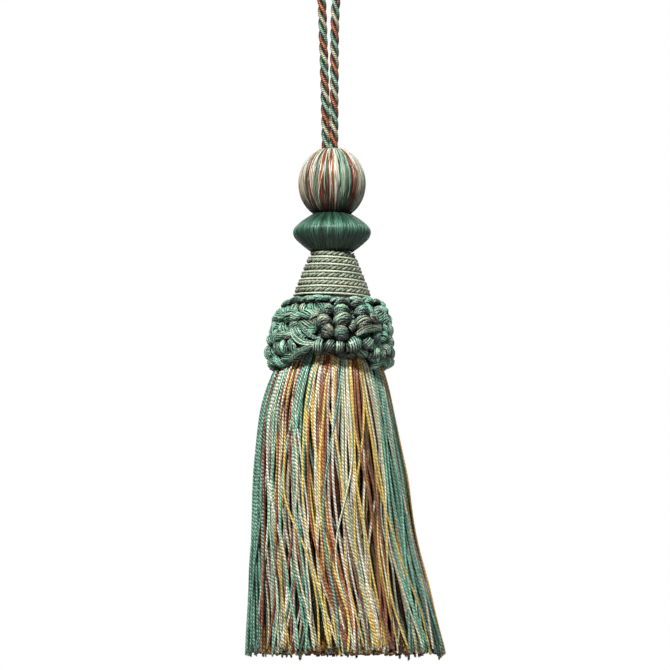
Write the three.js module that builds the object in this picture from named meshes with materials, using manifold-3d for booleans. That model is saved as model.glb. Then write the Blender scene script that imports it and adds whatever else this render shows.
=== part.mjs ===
// A key tassel hung from a doubled cord: a wrapped ball and disc, a cone bound with cord,
// a knotted ruff and a skirt of cut yarns. Millimetres, +Z up. The front of the tassel faces -Y.
// The origin is the hang point, the underside of the loop's top, where a knob or hook bears.

import * as THREE from 'three';
import { mergeVertices } from 'three/addons/utils/BufferGeometryUtils.js';
import Module from 'manifold-3d';

const wasm = await Module();
wasm.setup();

// Driving dimensions
const GAP = 0.3;                  // clearance kept between pieces that touch on the real tassel
const BALL_TOP = -76;             // the loop's drop, from the hang point to the top of the ball
const BALL_BOTTOM = -94.6;
const DISC_BOTTOM = -105.9;
const CONE_BOTTOM = -119.7;
const RUFF_BOTTOM = -141;
const SKIRT_END = -221.5;         // mean height of the cut ends

// Cord of the loop
const CORD_DIAMETER = 2.6;
const CORD_STRANDS = 3;
const CORD_TURN = 10.5;           // length of one full turn of the twist
const CORD_VALLEY = 0.62;         // depth of the groove between strands, as a share of the radius
const CORD_STEP = 1.7;            // length of one step of the solid along the cord

// Ball, an upright ellipsoid cut off at the cord's hole and at the disc
const BALL_RADIUS = 9.8;
const BALL_HALF_HEIGHT = 10.6;
const BALL_CENTRE = -85.9;
const BALL_SIDES = 28;
const BALL_ROWS = 13;

const DISC_SIDES = 30;
const DISC_ROWS = 11;
const CONE_SIDES = 28;
const WINDING_PITCH = 2.12;       // one sage cord and one cream cord side by side
const WINDING_CORD = 0.32;        // how far the sage cord stands out
const WINDING_THREAD = 0.42;      // how far the cream cord stands out
const WINDING_SHARE = 0.7;        // share of the pitch that the sage cord takes
const WINDING_ROWS = 4.6;         // rows of faces in one pitch

const STITCH_ROWS = 4;
const STITCHES_ROUND = 22;
const STITCH_FACES = 4;           // faces along and across each stitch
const STITCH_RAISE = 0.42;        // each stitch stands this far out, and the dip between goes as far in
const KNOT_BED = -0.8;            // the hollow between the knots on the front
const KNOT_DEPTH = 2.8;           // half the thickness of a knot, in and out
const KNOT_FLATNESS = 0.8;        // a knot's height as a share of its width
const KNOT_FACES = { round: 9, down: 7 };
const RUFF_MOUTH = 16.4;          // inner radius of the ruff's lower edge
const RUFF_LEAN = -0.8;           // how far its lower edge hangs to the left
const RUFF_HOLLOW = 4.2;          // depth of its underside, filled by the head of the skirt
const RUFF_LIP = 0.4;             // how far the inner side of its lower edge lies above the outer side
const SAME = 0.05;                // points closer than this are at the same place

const HEAD_THICKNESS = 2.4;       // the skirt's bound heading
const HEAD_RADIUS = 15.5;
const HEAD_SIDES = 48;
const STRAND_REACH = 0.57;        // from the middle of a strand's section to its corners, before it widens
const STRAND_ROOT = 0.8;          // how much a strand is narrowed at its root

// Route of the cord's centreline, in the plane of the loop, from the left foot over the top to the right foot
const LOOP_ROUTE = [
  { x: -2.05, z: -75.7 }, { x: -2.08, z: -71.5 }, { x: -2.15, z: -66.5 }, { x: -2.25, z: -61 },
  { x: -2.38, z: -55 }, { x: -2.48, z: -49 }, { x: -2.58, z: -43.5 }, { x: -2.75, z: -38 },
  { x: -2.97, z: -32.6 }, { x: -3.4, z: -27.2 }, { x: -4.25, z: -21.6 }, { x: -5.35, z: -16 },
  { x: -6.3, z: -10.6 }, { x: -6.6, z: -5.4 }, { x: -4.67, z: -0.66 }, { x: 0, z: 1.3 },
  { x: 4.67, z: -0.66 }, { x: 6.6, z: -5.4 }, { x: 6.15, z: -10.6 }, { x: 4.85, z: -16 },
  { x: 3.3, z: -21.6 }, { x: 1.95, z: -27.2 }, { x: 1.12, z: -32.6 }, { x: 0.86, z: -38 },
  { x: 0.74, z: -43.5 }, { x: 0.7, z: -49 }, { x: 0.7, z: -55 }, { x: 0.74, z: -61 },
  { x: 0.79, z: -66.5 }, { x: 0.84, z: -71.5 }, { x: 0.87, z: -75.7 },
];

// Outlines as radius and depth below the piece's own top
const DISC_OUTLINE = [
  { r: 5.5, down: 0 }, { r: 7.3, down: 1.1 }, { r: 9.0, down: 2.3 }, { r: 10.35, down: 3.5 },
  { r: 11.2, down: 4.7 }, { r: 11.3, down: 5.7 }, { r: 10.75, down: 7.0 }, { r: 9.6, down: 8.2 },
  { r: 8.2, down: 9.4 }, { r: 6.8, down: 10.5 }, { r: 6.1, down: 11.0 },
];
const CONE_OUTLINE = [
  { r: 5.9, down: 0 }, { r: 7.0, down: 2.2 }, { r: 8.0, down: 4.6 }, { r: 9.0, down: 7.2 },
  { r: 10.2, down: 10.2 }, { r: 11.3, down: 13.5 },
];
const RUFF_OUTLINE = [
  { r: 11.6, down: 0 }, { r: 14.4, down: 0.9 }, { r: 16.4, down: 2.9 }, { r: 17.4, down: 5.4 },
  { r: 18.0, down: 8.4 }, { r: 18.5, down: 11.6 }, { r: 18.6, down: 15 }, { r: 18.3, down: 18.2 },
  { r: 17.3, down: 20.8 },
];

// Fat wrapped knots on the ruff's front: place across and down from its top, size and how far each stands out
const FRONT_KNOTS = [
  { x: 3.2, down: 3.8, size: 2.4, out: 1.3 }, { x: 8.5, down: 3.9, size: 2.5, out: 1.3 },
  { x: -2.1, down: 6.8, size: 2.3, out: 1.5 }, { x: 2.7, down: 7.4, size: 2.5, out: 1.9 },
  { x: 8.7, down: 7.9, size: 2.7, out: 1.8 }, { x: -1.6, down: 11.0, size: 2.4, out: 2.0 },
  { x: 2.9, down: 11.5, size: 2.4, out: 2.1 }, { x: -3.7, down: 15.7, size: 2.4, out: 1.6 },
  { x: 0.6, down: 15.8, size: 2.3, out: 1.7 }, { x: 6.0, down: 15.4, size: 2.6, out: 1.9 },
  { x: 10.2, down: 13.2, size: 2.5, out: 1.6 },
];
const KNOT_FIELD = { x: 3.2, down: 10, halfWidth: 8.6, halfHeight: 9 };

// Outer form of the skirt: height, radius and the sideways place of its centre, which drifts to the right
const SKIRT_STATIONS = [
  { z: -138.9, radius: 14.2, x: -0.8 }, { z: -145.5, radius: 17.4, x: -1.4 },
  { z: -152.6, radius: 19.4, x: -1.5 }, { z: -168.9, radius: 21.7, x: -0.7 },
  { z: -194.0, radius: 24.4, x: 0.9 }, { z: SKIRT_END, radius: 28.5, x: 3.9 },
];

// Rings of strands, outermost first: number of strands, the shares of the outer form's radius at
// which they are rooted and end, their extra length, and how much a strand widens to its cut end.
// The inner rings are wide locks with fewer bends, which fill the skirt as its inner yarns do.
const SKIRT_RINGS = [
  { strands: 72, root: 1, end: 1, longer: 0, widen: 1.8, everyStation: true },
  { strands: 50, root: 0.81, end: 0.905, longer: 1.4, widen: 1.8, everyStation: true },
  { strands: 30, root: 0.61, end: 0.79, longer: 2.4, widen: 2.4, everyStation: false },
  { strands: 20, root: 0.42, end: 0.6, longer: 3, widen: 4, everyStation: false },
  { strands: 11, root: 0.25, end: 0.38, longer: 3, widen: 4, everyStation: false },
  { strands: 5, root: 0.1, end: 0.16, longer: 3, widen: 4, everyStation: false },
];
const STRAND_LONG = 1.4;          // how much longer or shorter than the mean a strand is cut
const STRAND_STRAY = 0.1;         // how far a strand strays sideways, as a share of its spacing
const SKIRT_SWAY = { reach: 0.022, waves: 3, phase: 5 };  // slow sideways wave of neighbours, radians

// Seeded draws, so that the uneven lengths and slants are the same each time
function seededDraw(seed) {
  let state = seed;
  return () => {
    state = (state * 1664525 + 1013904223) % 4294967296;
    return state / 4294967296;
  };
}

// A closed solid turned about the Z axis from its outline, top to bottom
function turned(outline, sides) {
  const points = outline.map((p) => new THREE.Vector2(p.r, p.z));
  return new THREE.LatheGeometry([...points].reverse(), sides);
}

// An outline's rows as a smooth curve, sampled in even steps down its length
function smoothOutline(rows, top, steps) {
  const curve = new THREE.SplineCurve(rows.map((row) => new THREE.Vector2(row.r, top - row.down)));
  return curve.getSpacedPoints(steps).map((p) => ({ r: p.x, z: p.y }));
}

// Moves each point of a turned solid that isn't on the axis out from it by a function of its angle and height
function raised(geometry, raise) {
  const position = geometry.attributes.position;
  const point = new THREE.Vector3();
  for (let i = 0; i < position.count; i += 1) {
    point.fromBufferAttribute(position, i);
    const radius = Math.hypot(point.x, point.y);
    if (radius < 0.01) continue;
    const grow = 1 + raise(Math.atan2(point.y, point.x), point.z, radius) / radius;
    position.setXYZ(i, point.x * grow, point.y * grow, point.z);
  }
  return geometry;
}

// Lathe geometry turns about Y, so it is stood up on Z with the closing seam welded
function standUp(geometry) {
  geometry.rotateX(Math.PI / 2);
  return welded(geometry);
}

function welded(geometry) {
  const bare = geometry.clone();
  bare.deleteAttribute('normal');
  bare.deleteAttribute('uv');
  return mergeVertices(bare, 1e-4);
}

// A curve whose steps fall on its own points, so that short stretches get as many faces as long ones
class StationCurve extends THREE.CatmullRomCurve3 {
  getPointAt(u, target) {
    return this.getPoint(u, target);
  }

  getTangentAt(u, target) {
    return this.getTangent(u, target);
  }
}

// Turns and swells an extruded solid's section about its path, step by step
function reshapedAlong(geometry, path, steps, shapeAt) {
  const centres = path.getSpacedPoints(steps);
  const frames = path.computeFrenetFrames(steps, false);
  const position = geometry.attributes.position;
  const point = new THREE.Vector3();
  for (let i = 0; i < position.count; i += 1) {
    point.fromBufferAttribute(position, i);
    let step = 0;
    let nearest = Infinity;
    for (let k = 0; k <= steps; k += 1) {
      const away = point.distanceToSquared(centres[k]);
      if (away < nearest) {
        nearest = away;
        step = k;
      }
    }
    const arm = point.clone().sub(centres[step]);
    const a = arm.dot(frames.normals[step]);
    const b = arm.dot(frames.binormals[step]);
    const { turn, swell } = shapeAt(step / steps);
    const c = Math.cos(turn) * swell;
    const s = Math.sin(turn) * swell;
    point.copy(centres[step])
      .addScaledVector(frames.normals[step], a * c - b * s)
      .addScaledVector(frames.binormals[step], a * s + b * c);
    position.setXYZ(i, point.x, point.y, point.z);
  }
  return geometry;
}

// The cord's section: each strand gives two crest points and one groove point
function strandedSection(diameter, strands, valley) {
  const radius = diameter / 2;
  const points = [];
  const sector = (2 * Math.PI) / strands;
  for (let k = 0; k < strands; k += 1) {
    for (const [turn, share] of [[-0.2, 1], [0.2, 1], [0.5, valley]]) {
      const angle = (k + turn) * sector;
      points.push(new THREE.Vector2(Math.cos(angle) * radius * share, Math.sin(angle) * radius * share));
    }
  }
  return new THREE.Shape(points);
}

function loopCord() {
  const path = new THREE.CatmullRomCurve3(
    LOOP_ROUTE.map((p) => new THREE.Vector3(p.x, 0, p.z)), false, 'centripetal');
  const length = path.getLength();
  const steps = Math.round(length / CORD_STEP);
  const section = strandedSection(CORD_DIAMETER, CORD_STRANDS, CORD_VALLEY);
  const tube = new THREE.ExtrudeGeometry(section, { steps, bevelEnabled: false, extrudePath: path });
  const turns = length / CORD_TURN;
  return welded(reshapedAlong(tube, path, steps, (t) => ({ turn: -2 * Math.PI * turns * t, swell: 1 })));
}

function headBall() {
  const outline = [{ r: 0, z: BALL_TOP }];
  const top = Math.asin((BALL_TOP - BALL_CENTRE) / BALL_HALF_HEIGHT);
  const bottom = Math.asin((BALL_BOTTOM - BALL_CENTRE) / BALL_HALF_HEIGHT);
  for (let k = 0; k <= BALL_ROWS; k += 1) {
    const rise = top + ((bottom - top) * k) / BALL_ROWS;
    outline.push({ r: BALL_RADIUS * Math.cos(rise), z: BALL_CENTRE + BALL_HALF_HEIGHT * Math.sin(rise) });
  }
  outline.push({ r: 0, z: BALL_BOTTOM });
  return standUp(turned(outline, BALL_SIDES));
}

function headDisc() {
  const top = BALL_BOTTOM - GAP;
  const side = smoothOutline(DISC_OUTLINE, top, DISC_ROWS);
  return standUp(turned([{ r: 0, z: top }, ...side, { r: 0, z: side.at(-1).z }], DISC_SIDES));
}

// How far the cone's winding stands out: a round sage cord, then a thin cream cord, in a helix
// that falls to the right across the front
function windingRise(angle, z) {
  const turn = (CONE_BOTTOM - z) / WINDING_PITCH - angle / (2 * Math.PI);
  const place = turn - Math.floor(turn);
  if (place < WINDING_SHARE) return WINDING_CORD * Math.sin((Math.PI * place) / WINDING_SHARE);
  return WINDING_THREAD * Math.sin((Math.PI * (place - WINDING_SHARE)) / (1 - WINDING_SHARE));
}

function headCone() {
  const top = DISC_BOTTOM - GAP;
  const steps = Math.round(((top - CONE_BOTTOM) / WINDING_PITCH) * WINDING_ROWS);
  const side = smoothOutline(CONE_OUTLINE, top, steps);
  const outline = [{ r: 0, z: top }, ...side, { r: 0, z: side.at(-1).z }];
  const cone = standUp(turned(outline, CONE_SIDES));
  return raised(cone, (angle, z) => windingRise(angle, z));
}

// How far the collar's surface stands out: rows of round stitches, each row half a stitch on,
// and on the front a sunken field for the knots
function collarRise(angle, z, radius) {
  const top = CONE_BOTTOM - GAP;
  const row = ((top - z) / (top - RUFF_BOTTOM)) * STITCH_ROWS;
  const across = (angle / (2 * Math.PI)) * STITCHES_ROUND + Math.floor(row) / 2;
  const fieldX = (radius * Math.cos(angle) - KNOT_FIELD.x) / KNOT_FIELD.halfWidth;
  const fieldDown = (top - z - KNOT_FIELD.down) / KNOT_FIELD.halfHeight;
  if (Math.sin(angle) < 0 && Math.hypot(fieldX, fieldDown) < 1) return KNOT_BED;
  return STITCH_RAISE * (Math.cos(2 * Math.PI * across) - Math.cos(2 * Math.PI * row));
}

// A fat round knot, sunk into the front of the collar
function knotSolid({ x, down, size, out }) {
  const below = RUFF_OUTLINE.findIndex((row) => row.down > down);
  const [upper, lower] = [RUFF_OUTLINE[below - 1], RUFF_OUTLINE[below]];
  const share = (down - upper.down) / (lower.down - upper.down);
  const reach = THREE.MathUtils.lerp(upper.r, lower.r, share) + out - KNOT_DEPTH;
  const knot = new THREE.SphereGeometry(1, KNOT_FACES.round, KNOT_FACES.down);
  knot.scale(size, KNOT_DEPTH, size * KNOT_FLATNESS);
  knot.translate(x, -Math.sqrt(reach * reach - x * x), CONE_BOTTOM - GAP - down);
  return asSolid(welded(knot));
}

function ruff() {
  const top = CONE_BOTTOM - GAP;
  const side = smoothOutline(RUFF_OUTLINE, top, STITCH_ROWS * STITCH_FACES);
  const inner = [
    { r: RUFF_MOUTH, z: RUFF_BOTTOM + RUFF_LIP },
    { r: RUFF_MOUTH, z: RUFF_BOTTOM + RUFF_HOLLOW },
    { r: 0, z: RUFF_BOTTOM + RUFF_HOLLOW },
  ];
  const sides = STITCHES_ROUND * STITCH_FACES;
  const collar = standUp(turned([{ r: 0, z: top }, ...side, ...inner], sides));
  raised(collar, (angle, z, radius) => {
    const belowCeiling = z < RUFF_BOTTOM + RUFF_HOLLOW + SAME;
    const inside = z > top - SAME || (belowCeiling && radius < RUFF_MOUTH + SAME);
    return inside ? 0 : collarRise(angle, z, radius);
  });
  const knotted = asGeometry(wasm.Manifold.union([asSolid(collar), ...FRONT_KNOTS.map(knotSolid)]));
  const lean = RUFF_LEAN / (RUFF_BOTTOM - top);
  const leaning = new THREE.Matrix4().set(1, 0, lean, -lean * top, 0, 1, 0, 0, 0, 0, 1, 0, 0, 0, 0, 1);
  return knotted.applyMatrix4(leaning);
}

// One strand: a three-sided yarn lock that widens to its cut end, flat side outwards
function strand(places, outward, widen) {
  const path = new StationCurve(places, false, 'centripetal');
  const steps = places.length - 1;
  const section = new THREE.Shape();
  for (let k = 0; k < 3; k += 1) {
    const angle = Math.PI + (2 * Math.PI * k) / 3;
    const corner = [Math.cos(angle) * STRAND_REACH, Math.sin(angle) * STRAND_REACH];
    if (k === 0) section.moveTo(...corner);
    else section.lineTo(...corner);
  }
  const yarn = new THREE.ExtrudeGeometry(section, { steps, bevelEnabled: false, extrudePath: path });
  const frames = path.computeFrenetFrames(steps, false);
  const face = Math.atan2(outward.dot(frames.binormals[0]), outward.dot(frames.normals[0]));
  return welded(reshapedAlong(yarn, path, steps, (t) => (
    { turn: face, swell: THREE.MathUtils.lerp(STRAND_ROOT, widen, t) })));
}

function skirtHead() {
  const top = RUFF_BOTTOM + RUFF_HOLLOW - GAP;
  const outline = [
    { r: 0, z: top }, { r: HEAD_RADIUS, z: top },
    { r: HEAD_RADIUS, z: top - HEAD_THICKNESS }, { r: 0, z: top - HEAD_THICKNESS },
  ];
  return standUp(turned(outline, HEAD_SIDES));
}

function asSolid(geometry) {
  return new wasm.Manifold(new wasm.Mesh({
    numProp: 3,
    vertProperties: new Float32Array(geometry.attributes.position.array),
    triVerts: new Uint32Array(geometry.index.array),
  }));
}

function asGeometry(solid) {
  const mesh = solid.getMesh();
  const geometry = new THREE.BufferGeometry();
  geometry.setAttribute('position', new THREE.BufferAttribute(new Float32Array(mesh.vertProperties), 3));
  geometry.setIndex(new THREE.BufferAttribute(new Uint32Array(mesh.triVerts), 1));
  return geometry;
}

// All strands stand apart below the heading that their roots are bound into
function skirt() {
  const draw = seededDraw(7);
  const solids = [asSolid(skirtHead())];
  for (const ring of SKIRT_RINGS) {
    const spacing = (2 * Math.PI) / ring.strands;
    for (let k = 0; k < ring.strands; k += 1) {
      const angle = spacing * (k + STRAND_STRAY * (2 * draw() - 1));
      const stray = spacing * STRAND_STRAY * (2 * draw() - 1);
      const longer = ring.longer + STRAND_LONG * (2 * draw() - 1);
      const last = SKIRT_STATIONS.length - 1;
      const places = SKIRT_STATIONS.map((station, i) => {
        const share = i / last;
        const sway = SKIRT_SWAY.reach * Math.sin(SKIRT_SWAY.waves * angle + SKIRT_SWAY.phase * share);
        const turn = angle + share * (stray + sway);
        const radius = station.radius * THREE.MathUtils.lerp(ring.root, ring.end, share);
        return new THREE.Vector3(
          station.x + radius * Math.cos(turn), radius * Math.sin(turn), station.z - longer * share);
      }).filter((_, i) => ring.everyStation || i % 2 === 0 || i === last);
      const outward = new THREE.Vector3(Math.cos(angle), Math.sin(angle), 0);
      solids.push(asSolid(strand(places, outward, ring.widen)));
    }
  }
  return asGeometry(wasm.Manifold.union(solids));
}

const FINISHES = {
  loopCord: { color: 0x9a6a4a, roughness: 0.7 },
  ballSilk: { color: 0xb9a58a, roughness: 0.45 },
  discSilk: { color: 0x2f7a68, roughness: 0.4 },
  coneCord: { color: 0xa9ab94, roughness: 0.7 },
  ruffCord: { color: 0x4f7f73, roughness: 0.6 },
  skirtYarn: { color: 0xa89a68, roughness: 0.6 },
};

function piece(name, geometry, finish) {
  geometry.computeVertexNormals();
  const material = new THREE.MeshStandardMaterial({ ...FINISHES[finish], metalness: 0 });
  const mesh = new THREE.Mesh(geometry, material);
  mesh.name = name;
  return mesh;
}

const tassel = new THREE.Group();
tassel.add(
  piece('loop_cord', loopCord(), 'loopCord'),
  piece('head_ball', headBall(), 'ballSilk'),
  piece('head_disc', headDisc(), 'discSilk'),
  piece('head_cone', headCone(), 'coneCord'),
  piece('ruff', ruff(), 'ruffCord'),
  piece('skirt', skirt(), 'skirtYarn'),
);

export default tassel;
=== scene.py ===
# A key tassel on a doubled cord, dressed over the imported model.
# Sizes in the dictionaries are millimetres; meshes are written in metres. The front faces -Y.
import math

import bpy
import numpy as np
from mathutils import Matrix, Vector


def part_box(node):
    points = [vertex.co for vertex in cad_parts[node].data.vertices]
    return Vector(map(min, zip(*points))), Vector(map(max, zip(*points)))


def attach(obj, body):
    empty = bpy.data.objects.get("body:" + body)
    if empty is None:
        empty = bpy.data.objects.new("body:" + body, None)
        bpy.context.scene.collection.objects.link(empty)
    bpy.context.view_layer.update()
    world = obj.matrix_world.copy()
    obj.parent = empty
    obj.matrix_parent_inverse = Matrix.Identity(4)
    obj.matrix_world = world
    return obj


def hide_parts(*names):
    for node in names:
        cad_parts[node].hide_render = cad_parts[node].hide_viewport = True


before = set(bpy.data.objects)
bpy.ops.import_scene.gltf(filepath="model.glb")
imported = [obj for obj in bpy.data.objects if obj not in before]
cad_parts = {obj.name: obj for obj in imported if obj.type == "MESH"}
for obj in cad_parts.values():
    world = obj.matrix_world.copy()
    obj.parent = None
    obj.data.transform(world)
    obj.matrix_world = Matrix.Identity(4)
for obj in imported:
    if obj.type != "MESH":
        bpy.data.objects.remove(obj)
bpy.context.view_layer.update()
mm = 0.001
tau = 2 * math.pi
upward = np.array([0.0, 0.0, 1.0])
frontward = np.array([0.0, -1.0, 0.0])


def nodeHeights(node):  # height of a CAD node's bottom and top, in millimetres
    low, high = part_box(node)
    return low[2] / mm, high[2] / mm


ballBottom, ballTop = nodeHeights("head_ball")
discTop = nodeHeights("head_disc")[1]
coneTop = nodeHeights("head_cone")[1]
ruffTop = nodeHeights("ruff")[1]
skirtTop = nodeHeights("skirt")[1]

# The camera, as in the picture: a long lens a little below the tassel.
view = dict(middle=(0.87, 0, -130.2), wide=194.3, distance=1300, below=5.5, sensor=36,
            nearest=50, farthest=30000)


def makeCamera():
    # the lens is sensor * distance / width of the view
    below = math.radians(view["below"])
    away = view["distance"] * mm
    middle = np.array(view["middle"]) * mm
    data = bpy.data.cameras.new("camera")
    data.sensor_width = view["sensor"]
    data.lens = view["sensor"] * view["distance"] / view["wide"]
    data.clip_start, data.clip_end = view["nearest"] * mm, view["farthest"] * mm
    camera = bpy.data.objects.new("camera", data)
    camera.location = middle + away * np.array([0, -math.cos(below), -math.sin(below)])
    camera.rotation_euler = (math.pi / 2 + below, 0, 0)
    bpy.context.collection.objects.link(camera)
    bpy.context.scene.camera = camera


makeCamera()
print("camera done")

# The dyes of the yarns.
dyes = dict(
    teal="#7aa995", deepTeal="#44755f", mint="#b8d2b9", sage="#bcc3a8", greySage="#939a86",
    cream="#eee8d3", blush="#dfcfbd", straw="#eee1bf", gold="#efd070", oldGold="#ae944c",
    rust="#92572a", fox="#9a552a", copper="#b9733a", brown="#7b4a20", umber="#33231a", pine="#2c4636",
    shadow="#0e1f15", taupe="#a39680", lichen="#7d9c8a", moss="#55735f", fern="#5a8a76", bark="#7a6f5c",
    thread="#c9d1b6", bottle="#38634e", bottleLight="#4d7c67", bottleDark="#294d3b", silver="#cfcab8",
)
darkest, lightest = 0.002, 0.95      # limits of a yarn's linear colour


def linear(hexText):  # sRGB to linear light: c/12.92 below 0.04, else ((c+0.055)/1.055)^2.4
    srgb = np.array([int(hexText[k:k + 2], 16) for k in (1, 3, 5)]) / 255
    return np.where(srgb < 0.04045, srgb / 12.92, ((srgb + 0.055) / 1.055) ** 2.4)


dyed = {name: linear(text) for name, text in dyes.items()}


def shades(names, rng, spread):
    # each yarn's dye, a little lighter or darker and warmer or cooler than its neighbour's
    base = np.array([dyed[name] for name in names])
    light = np.exp(rng.normal(0, spread, (len(names), 1)))
    warm = rng.normal(0, spread / 8, (len(names), 1)) * np.array([[1, 0, -1]])
    return np.clip(base * light * np.exp(warm), darkest, lightest)


def picked(rng, names, count):  # as many dyes, each drawn from the names
    return [names[k] for k in rng.integers(0, len(names), count)]


def runsOfYarn(runs, others, count, rng, backRun=(3, 12)):
    # dye of each yarn round the piece: the front runs centred on -Y, then seeded runs round the back, each
    # of a width in degrees drawn from backRun
    total = sum(width for _, width in runs)
    edges = -90 - total / 2 + np.cumsum([width for _, width in runs])
    names, reach, back = [name for name, _ in runs], list(edges), edges[-1]
    while back < 270 - total / 2:
        back += rng.integers(*backRun)
        names.append(others[rng.integers(len(others))])
        reach.append(back)
    degrees = -90 - total / 2 + 360 * (np.arange(count) + 0.5) / count
    place = np.minimum(np.searchsorted(reach, degrees), len(names) - 1)
    return np.radians(degrees), [names[k] for k in place]


def mixedIn(rng, names, others, share, whole=None):
    # lets a share of the yarns take a dye at random in place of its run's; the whole dye's runs stay
    odd = rng.uniform(0, 1, len(names)) < share
    return [others[rng.integers(len(others))] if strange and name != whole else name
            for strange, name in zip(odd, names)]


# Shape tools. Each works on whole arrays: paths are (yarn, point, xyz), widths are (yarn, point).
def unit(vectors):
    return vectors / np.maximum(np.linalg.norm(vectors, axis=-1, keepdims=True), 1e-12)


def tableAt(table, x):  # straight lines between the (x, y) points of a table
    return np.interp(x, *np.array(table, float).T)


def radiusAt(outline, down):  # radius at a depth, from an outline of (radius, depth) points
    return np.interp(down, [d for _, d in outline], [r for r, _ in outline])


def fromFront(angle):  # angle round the tassel from the middle of its front, from -pi to pi
    return np.mod(np.asarray(angle) + tau / 4 + math.pi, tau) - math.pi


def wave(rng, n, t, slowest, fastest):
    # sin(2 pi * cycles * t + phase) for each of n yarns, with its cycles and phase drawn
    return np.sin(tau * t * rng.uniform(slowest, fastest, (n, 1)) + rng.uniform(0, tau, (n, 1)))


def waves(a, parts):  # the sum of size * sin(count * a + phase) over the parts
    return sum(size * np.sin(count * a + phase) for size, count, phase in parts)


def anyStart(rng, n, length=50):  # where along its pattern each yarn starts, in millimetres
    return rng.uniform(0, length, n)


def runLength(paths):
    # distance along each path at each of its points, from 0
    step = np.linalg.norm(np.diff(paths, axis=1), axis=2)
    return np.concatenate([np.zeros((len(paths), 1)), np.cumsum(step, axis=1)], axis=1)


def smoothCurve(points, count, finer=4):
    # cubic Hermite curve through the points, with centripetal spacing, resampled in even steps from one
    # that is several times finer
    points = np.asarray(points, float)
    gaps = np.sqrt(np.linalg.norm(np.diff(points, axis=0), axis=1))
    knots = np.concatenate([[0], np.cumsum(gaps)])
    slopes = np.gradient(points, knots, axis=0)
    t = np.linspace(0, knots[-1], count * finer)
    i = np.clip(np.searchsorted(knots, t, side="right") - 1, 0, len(knots) - 2)
    h = (knots[i + 1] - knots[i])[:, None]
    u = (t - knots[i])[:, None] / h
    fine = ((2 * u**3 - 3 * u**2 + 1) * points[i] + (u**3 - 2 * u**2 + u) * h * slopes[i]
            + (3 * u**2 - 2 * u**3) * points[i + 1] + (u**3 - u**2) * h * slopes[i + 1])
    run = runLength(fine[None])[0]
    even = np.linspace(0, run[-1], count)
    return np.stack([np.interp(even, run, fine[:, k]) for k in range(points.shape[1])], axis=1)


def crossFrames(paths, outward):
    # along = direction of the path, side = outward x along, out = along x side
    along = unit(np.gradient(paths, axis=1))
    side = unit(np.cross(np.broadcast_to(outward, paths.shape), along))
    return side, np.cross(along, side)


def woundRound(path, outward, angle, offset):
    # plies that wind round one path: path + offset * (side cos(a) + out sin(a)), angle as (ply, point)
    side, out = crossFrames(path, outward)
    return path + offset * (np.cos(angle)[..., None] * side + np.sin(angle)[..., None] * out)


def tubes(paths, outward, width, sides, tone, thick=None, startAt=None):
    # a ring of points round each point of a path, path + side * width cos(a) + out * thick sin(a), with
    # both ends closed; the UV is the share of the way round and the distance along from startAt
    n, m = paths.shape[:2]
    side, out = crossFrames(paths, outward)
    width = np.broadcast_to(np.asarray(width, float), (n, m))
    thick = width if thick is None else np.broadcast_to(np.asarray(thick, float), (n, m))
    a = tau * np.arange(sides) / sides - tau / 4
    points = (paths[:, :, None] + side[:, :, None] * (np.cos(a)[:, None] * width[:, :, None, None])
              + out[:, :, None] * (np.sin(a)[:, None] * thick[:, :, None, None]))
    i, j, k = np.meshgrid(np.arange(n), np.arange(m - 1), np.arange(sides), indexing="ij")
    corner = lambda row, around: (i * m + row) * sides + around % sides
    quads = np.stack([corner(j, k), corner(j, k + 1), corner(j + 1, k + 1), corner(j + 1, k)], axis=-1)
    run = runLength(paths) + (0 if startAt is None else np.asarray(startAt, float)[:, None])
    low, high, u, u2 = run[i, j], run[i, j + 1], k / sides, (k + 1) / sides
    uv = np.stack([u, low, u2, low, u2, high, u, high], axis=-1)
    first = np.arange(n)[:, None] * m * sides
    ends = [first + np.arange(sides)[::-1], first + (m - 1) * sides + np.arange(sides)]
    endUvs = [np.stack([np.full((n, sides), 0.5), np.repeat(run[:, [row]], sides, axis=1)], axis=-1)
              for row in (0, m - 1)]
    tone = np.asarray(tone, float)
    tone = np.broadcast_to(tone[:, None] if tone.ndim == 2 else tone, (n, m, 3))
    return dict(points=points.reshape(-1, 3), faces=[quads.reshape(-1, 4)] + ends,
                uvs=[uv.reshape(-1, 4, 2)] + endUvs, tone=np.repeat(tone.reshape(-1, 3), sides, axis=0))


def turnedForm(radii, heights, sides, tone, centreX=0.0):
    # a closed form turned about an upright line, from a profile that runs from its top to its bottom:
    # x = centre + r cos(a), y = r sin(a), z = height
    radii, heights = np.asarray(radii, float), np.asarray(heights, float)
    m = len(radii)
    a = tau * np.arange(sides) / sides
    centre = np.broadcast_to(np.asarray(centreX, float), (m,))
    points = np.stack([centre[:, None] + radii[:, None] * np.cos(a), radii[:, None] * np.sin(a),
                       np.broadcast_to(heights[:, None], (m, sides))], axis=-1)
    j, k = np.meshgrid(np.arange(m - 1), np.arange(sides), indexing="ij")
    corner = lambda row, around: row * sides + around % sides
    quads = np.stack([corner(j, k), corner(j + 1, k), corner(j + 1, k + 1), corner(j, k + 1)], axis=-1)
    low, high, u, u2 = heights[j], heights[j + 1], k / sides, (k + 1) / sides
    uv = np.stack([u, low, u, high, u2, high, u2, low], axis=-1)
    caps = [np.arange(sides)[None], (m - 1) * sides + np.arange(sides)[None, ::-1]]
    capUv = [np.full((1, sides, 2), 0.5)] * 2
    return dict(points=points.reshape(-1, 3), faces=[quads.reshape(-1, 4)] + caps,
                uvs=[uv.reshape(-1, 4, 2)] + capUv, tone=np.broadcast_to(tone, (m * sides, 3)))


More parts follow.
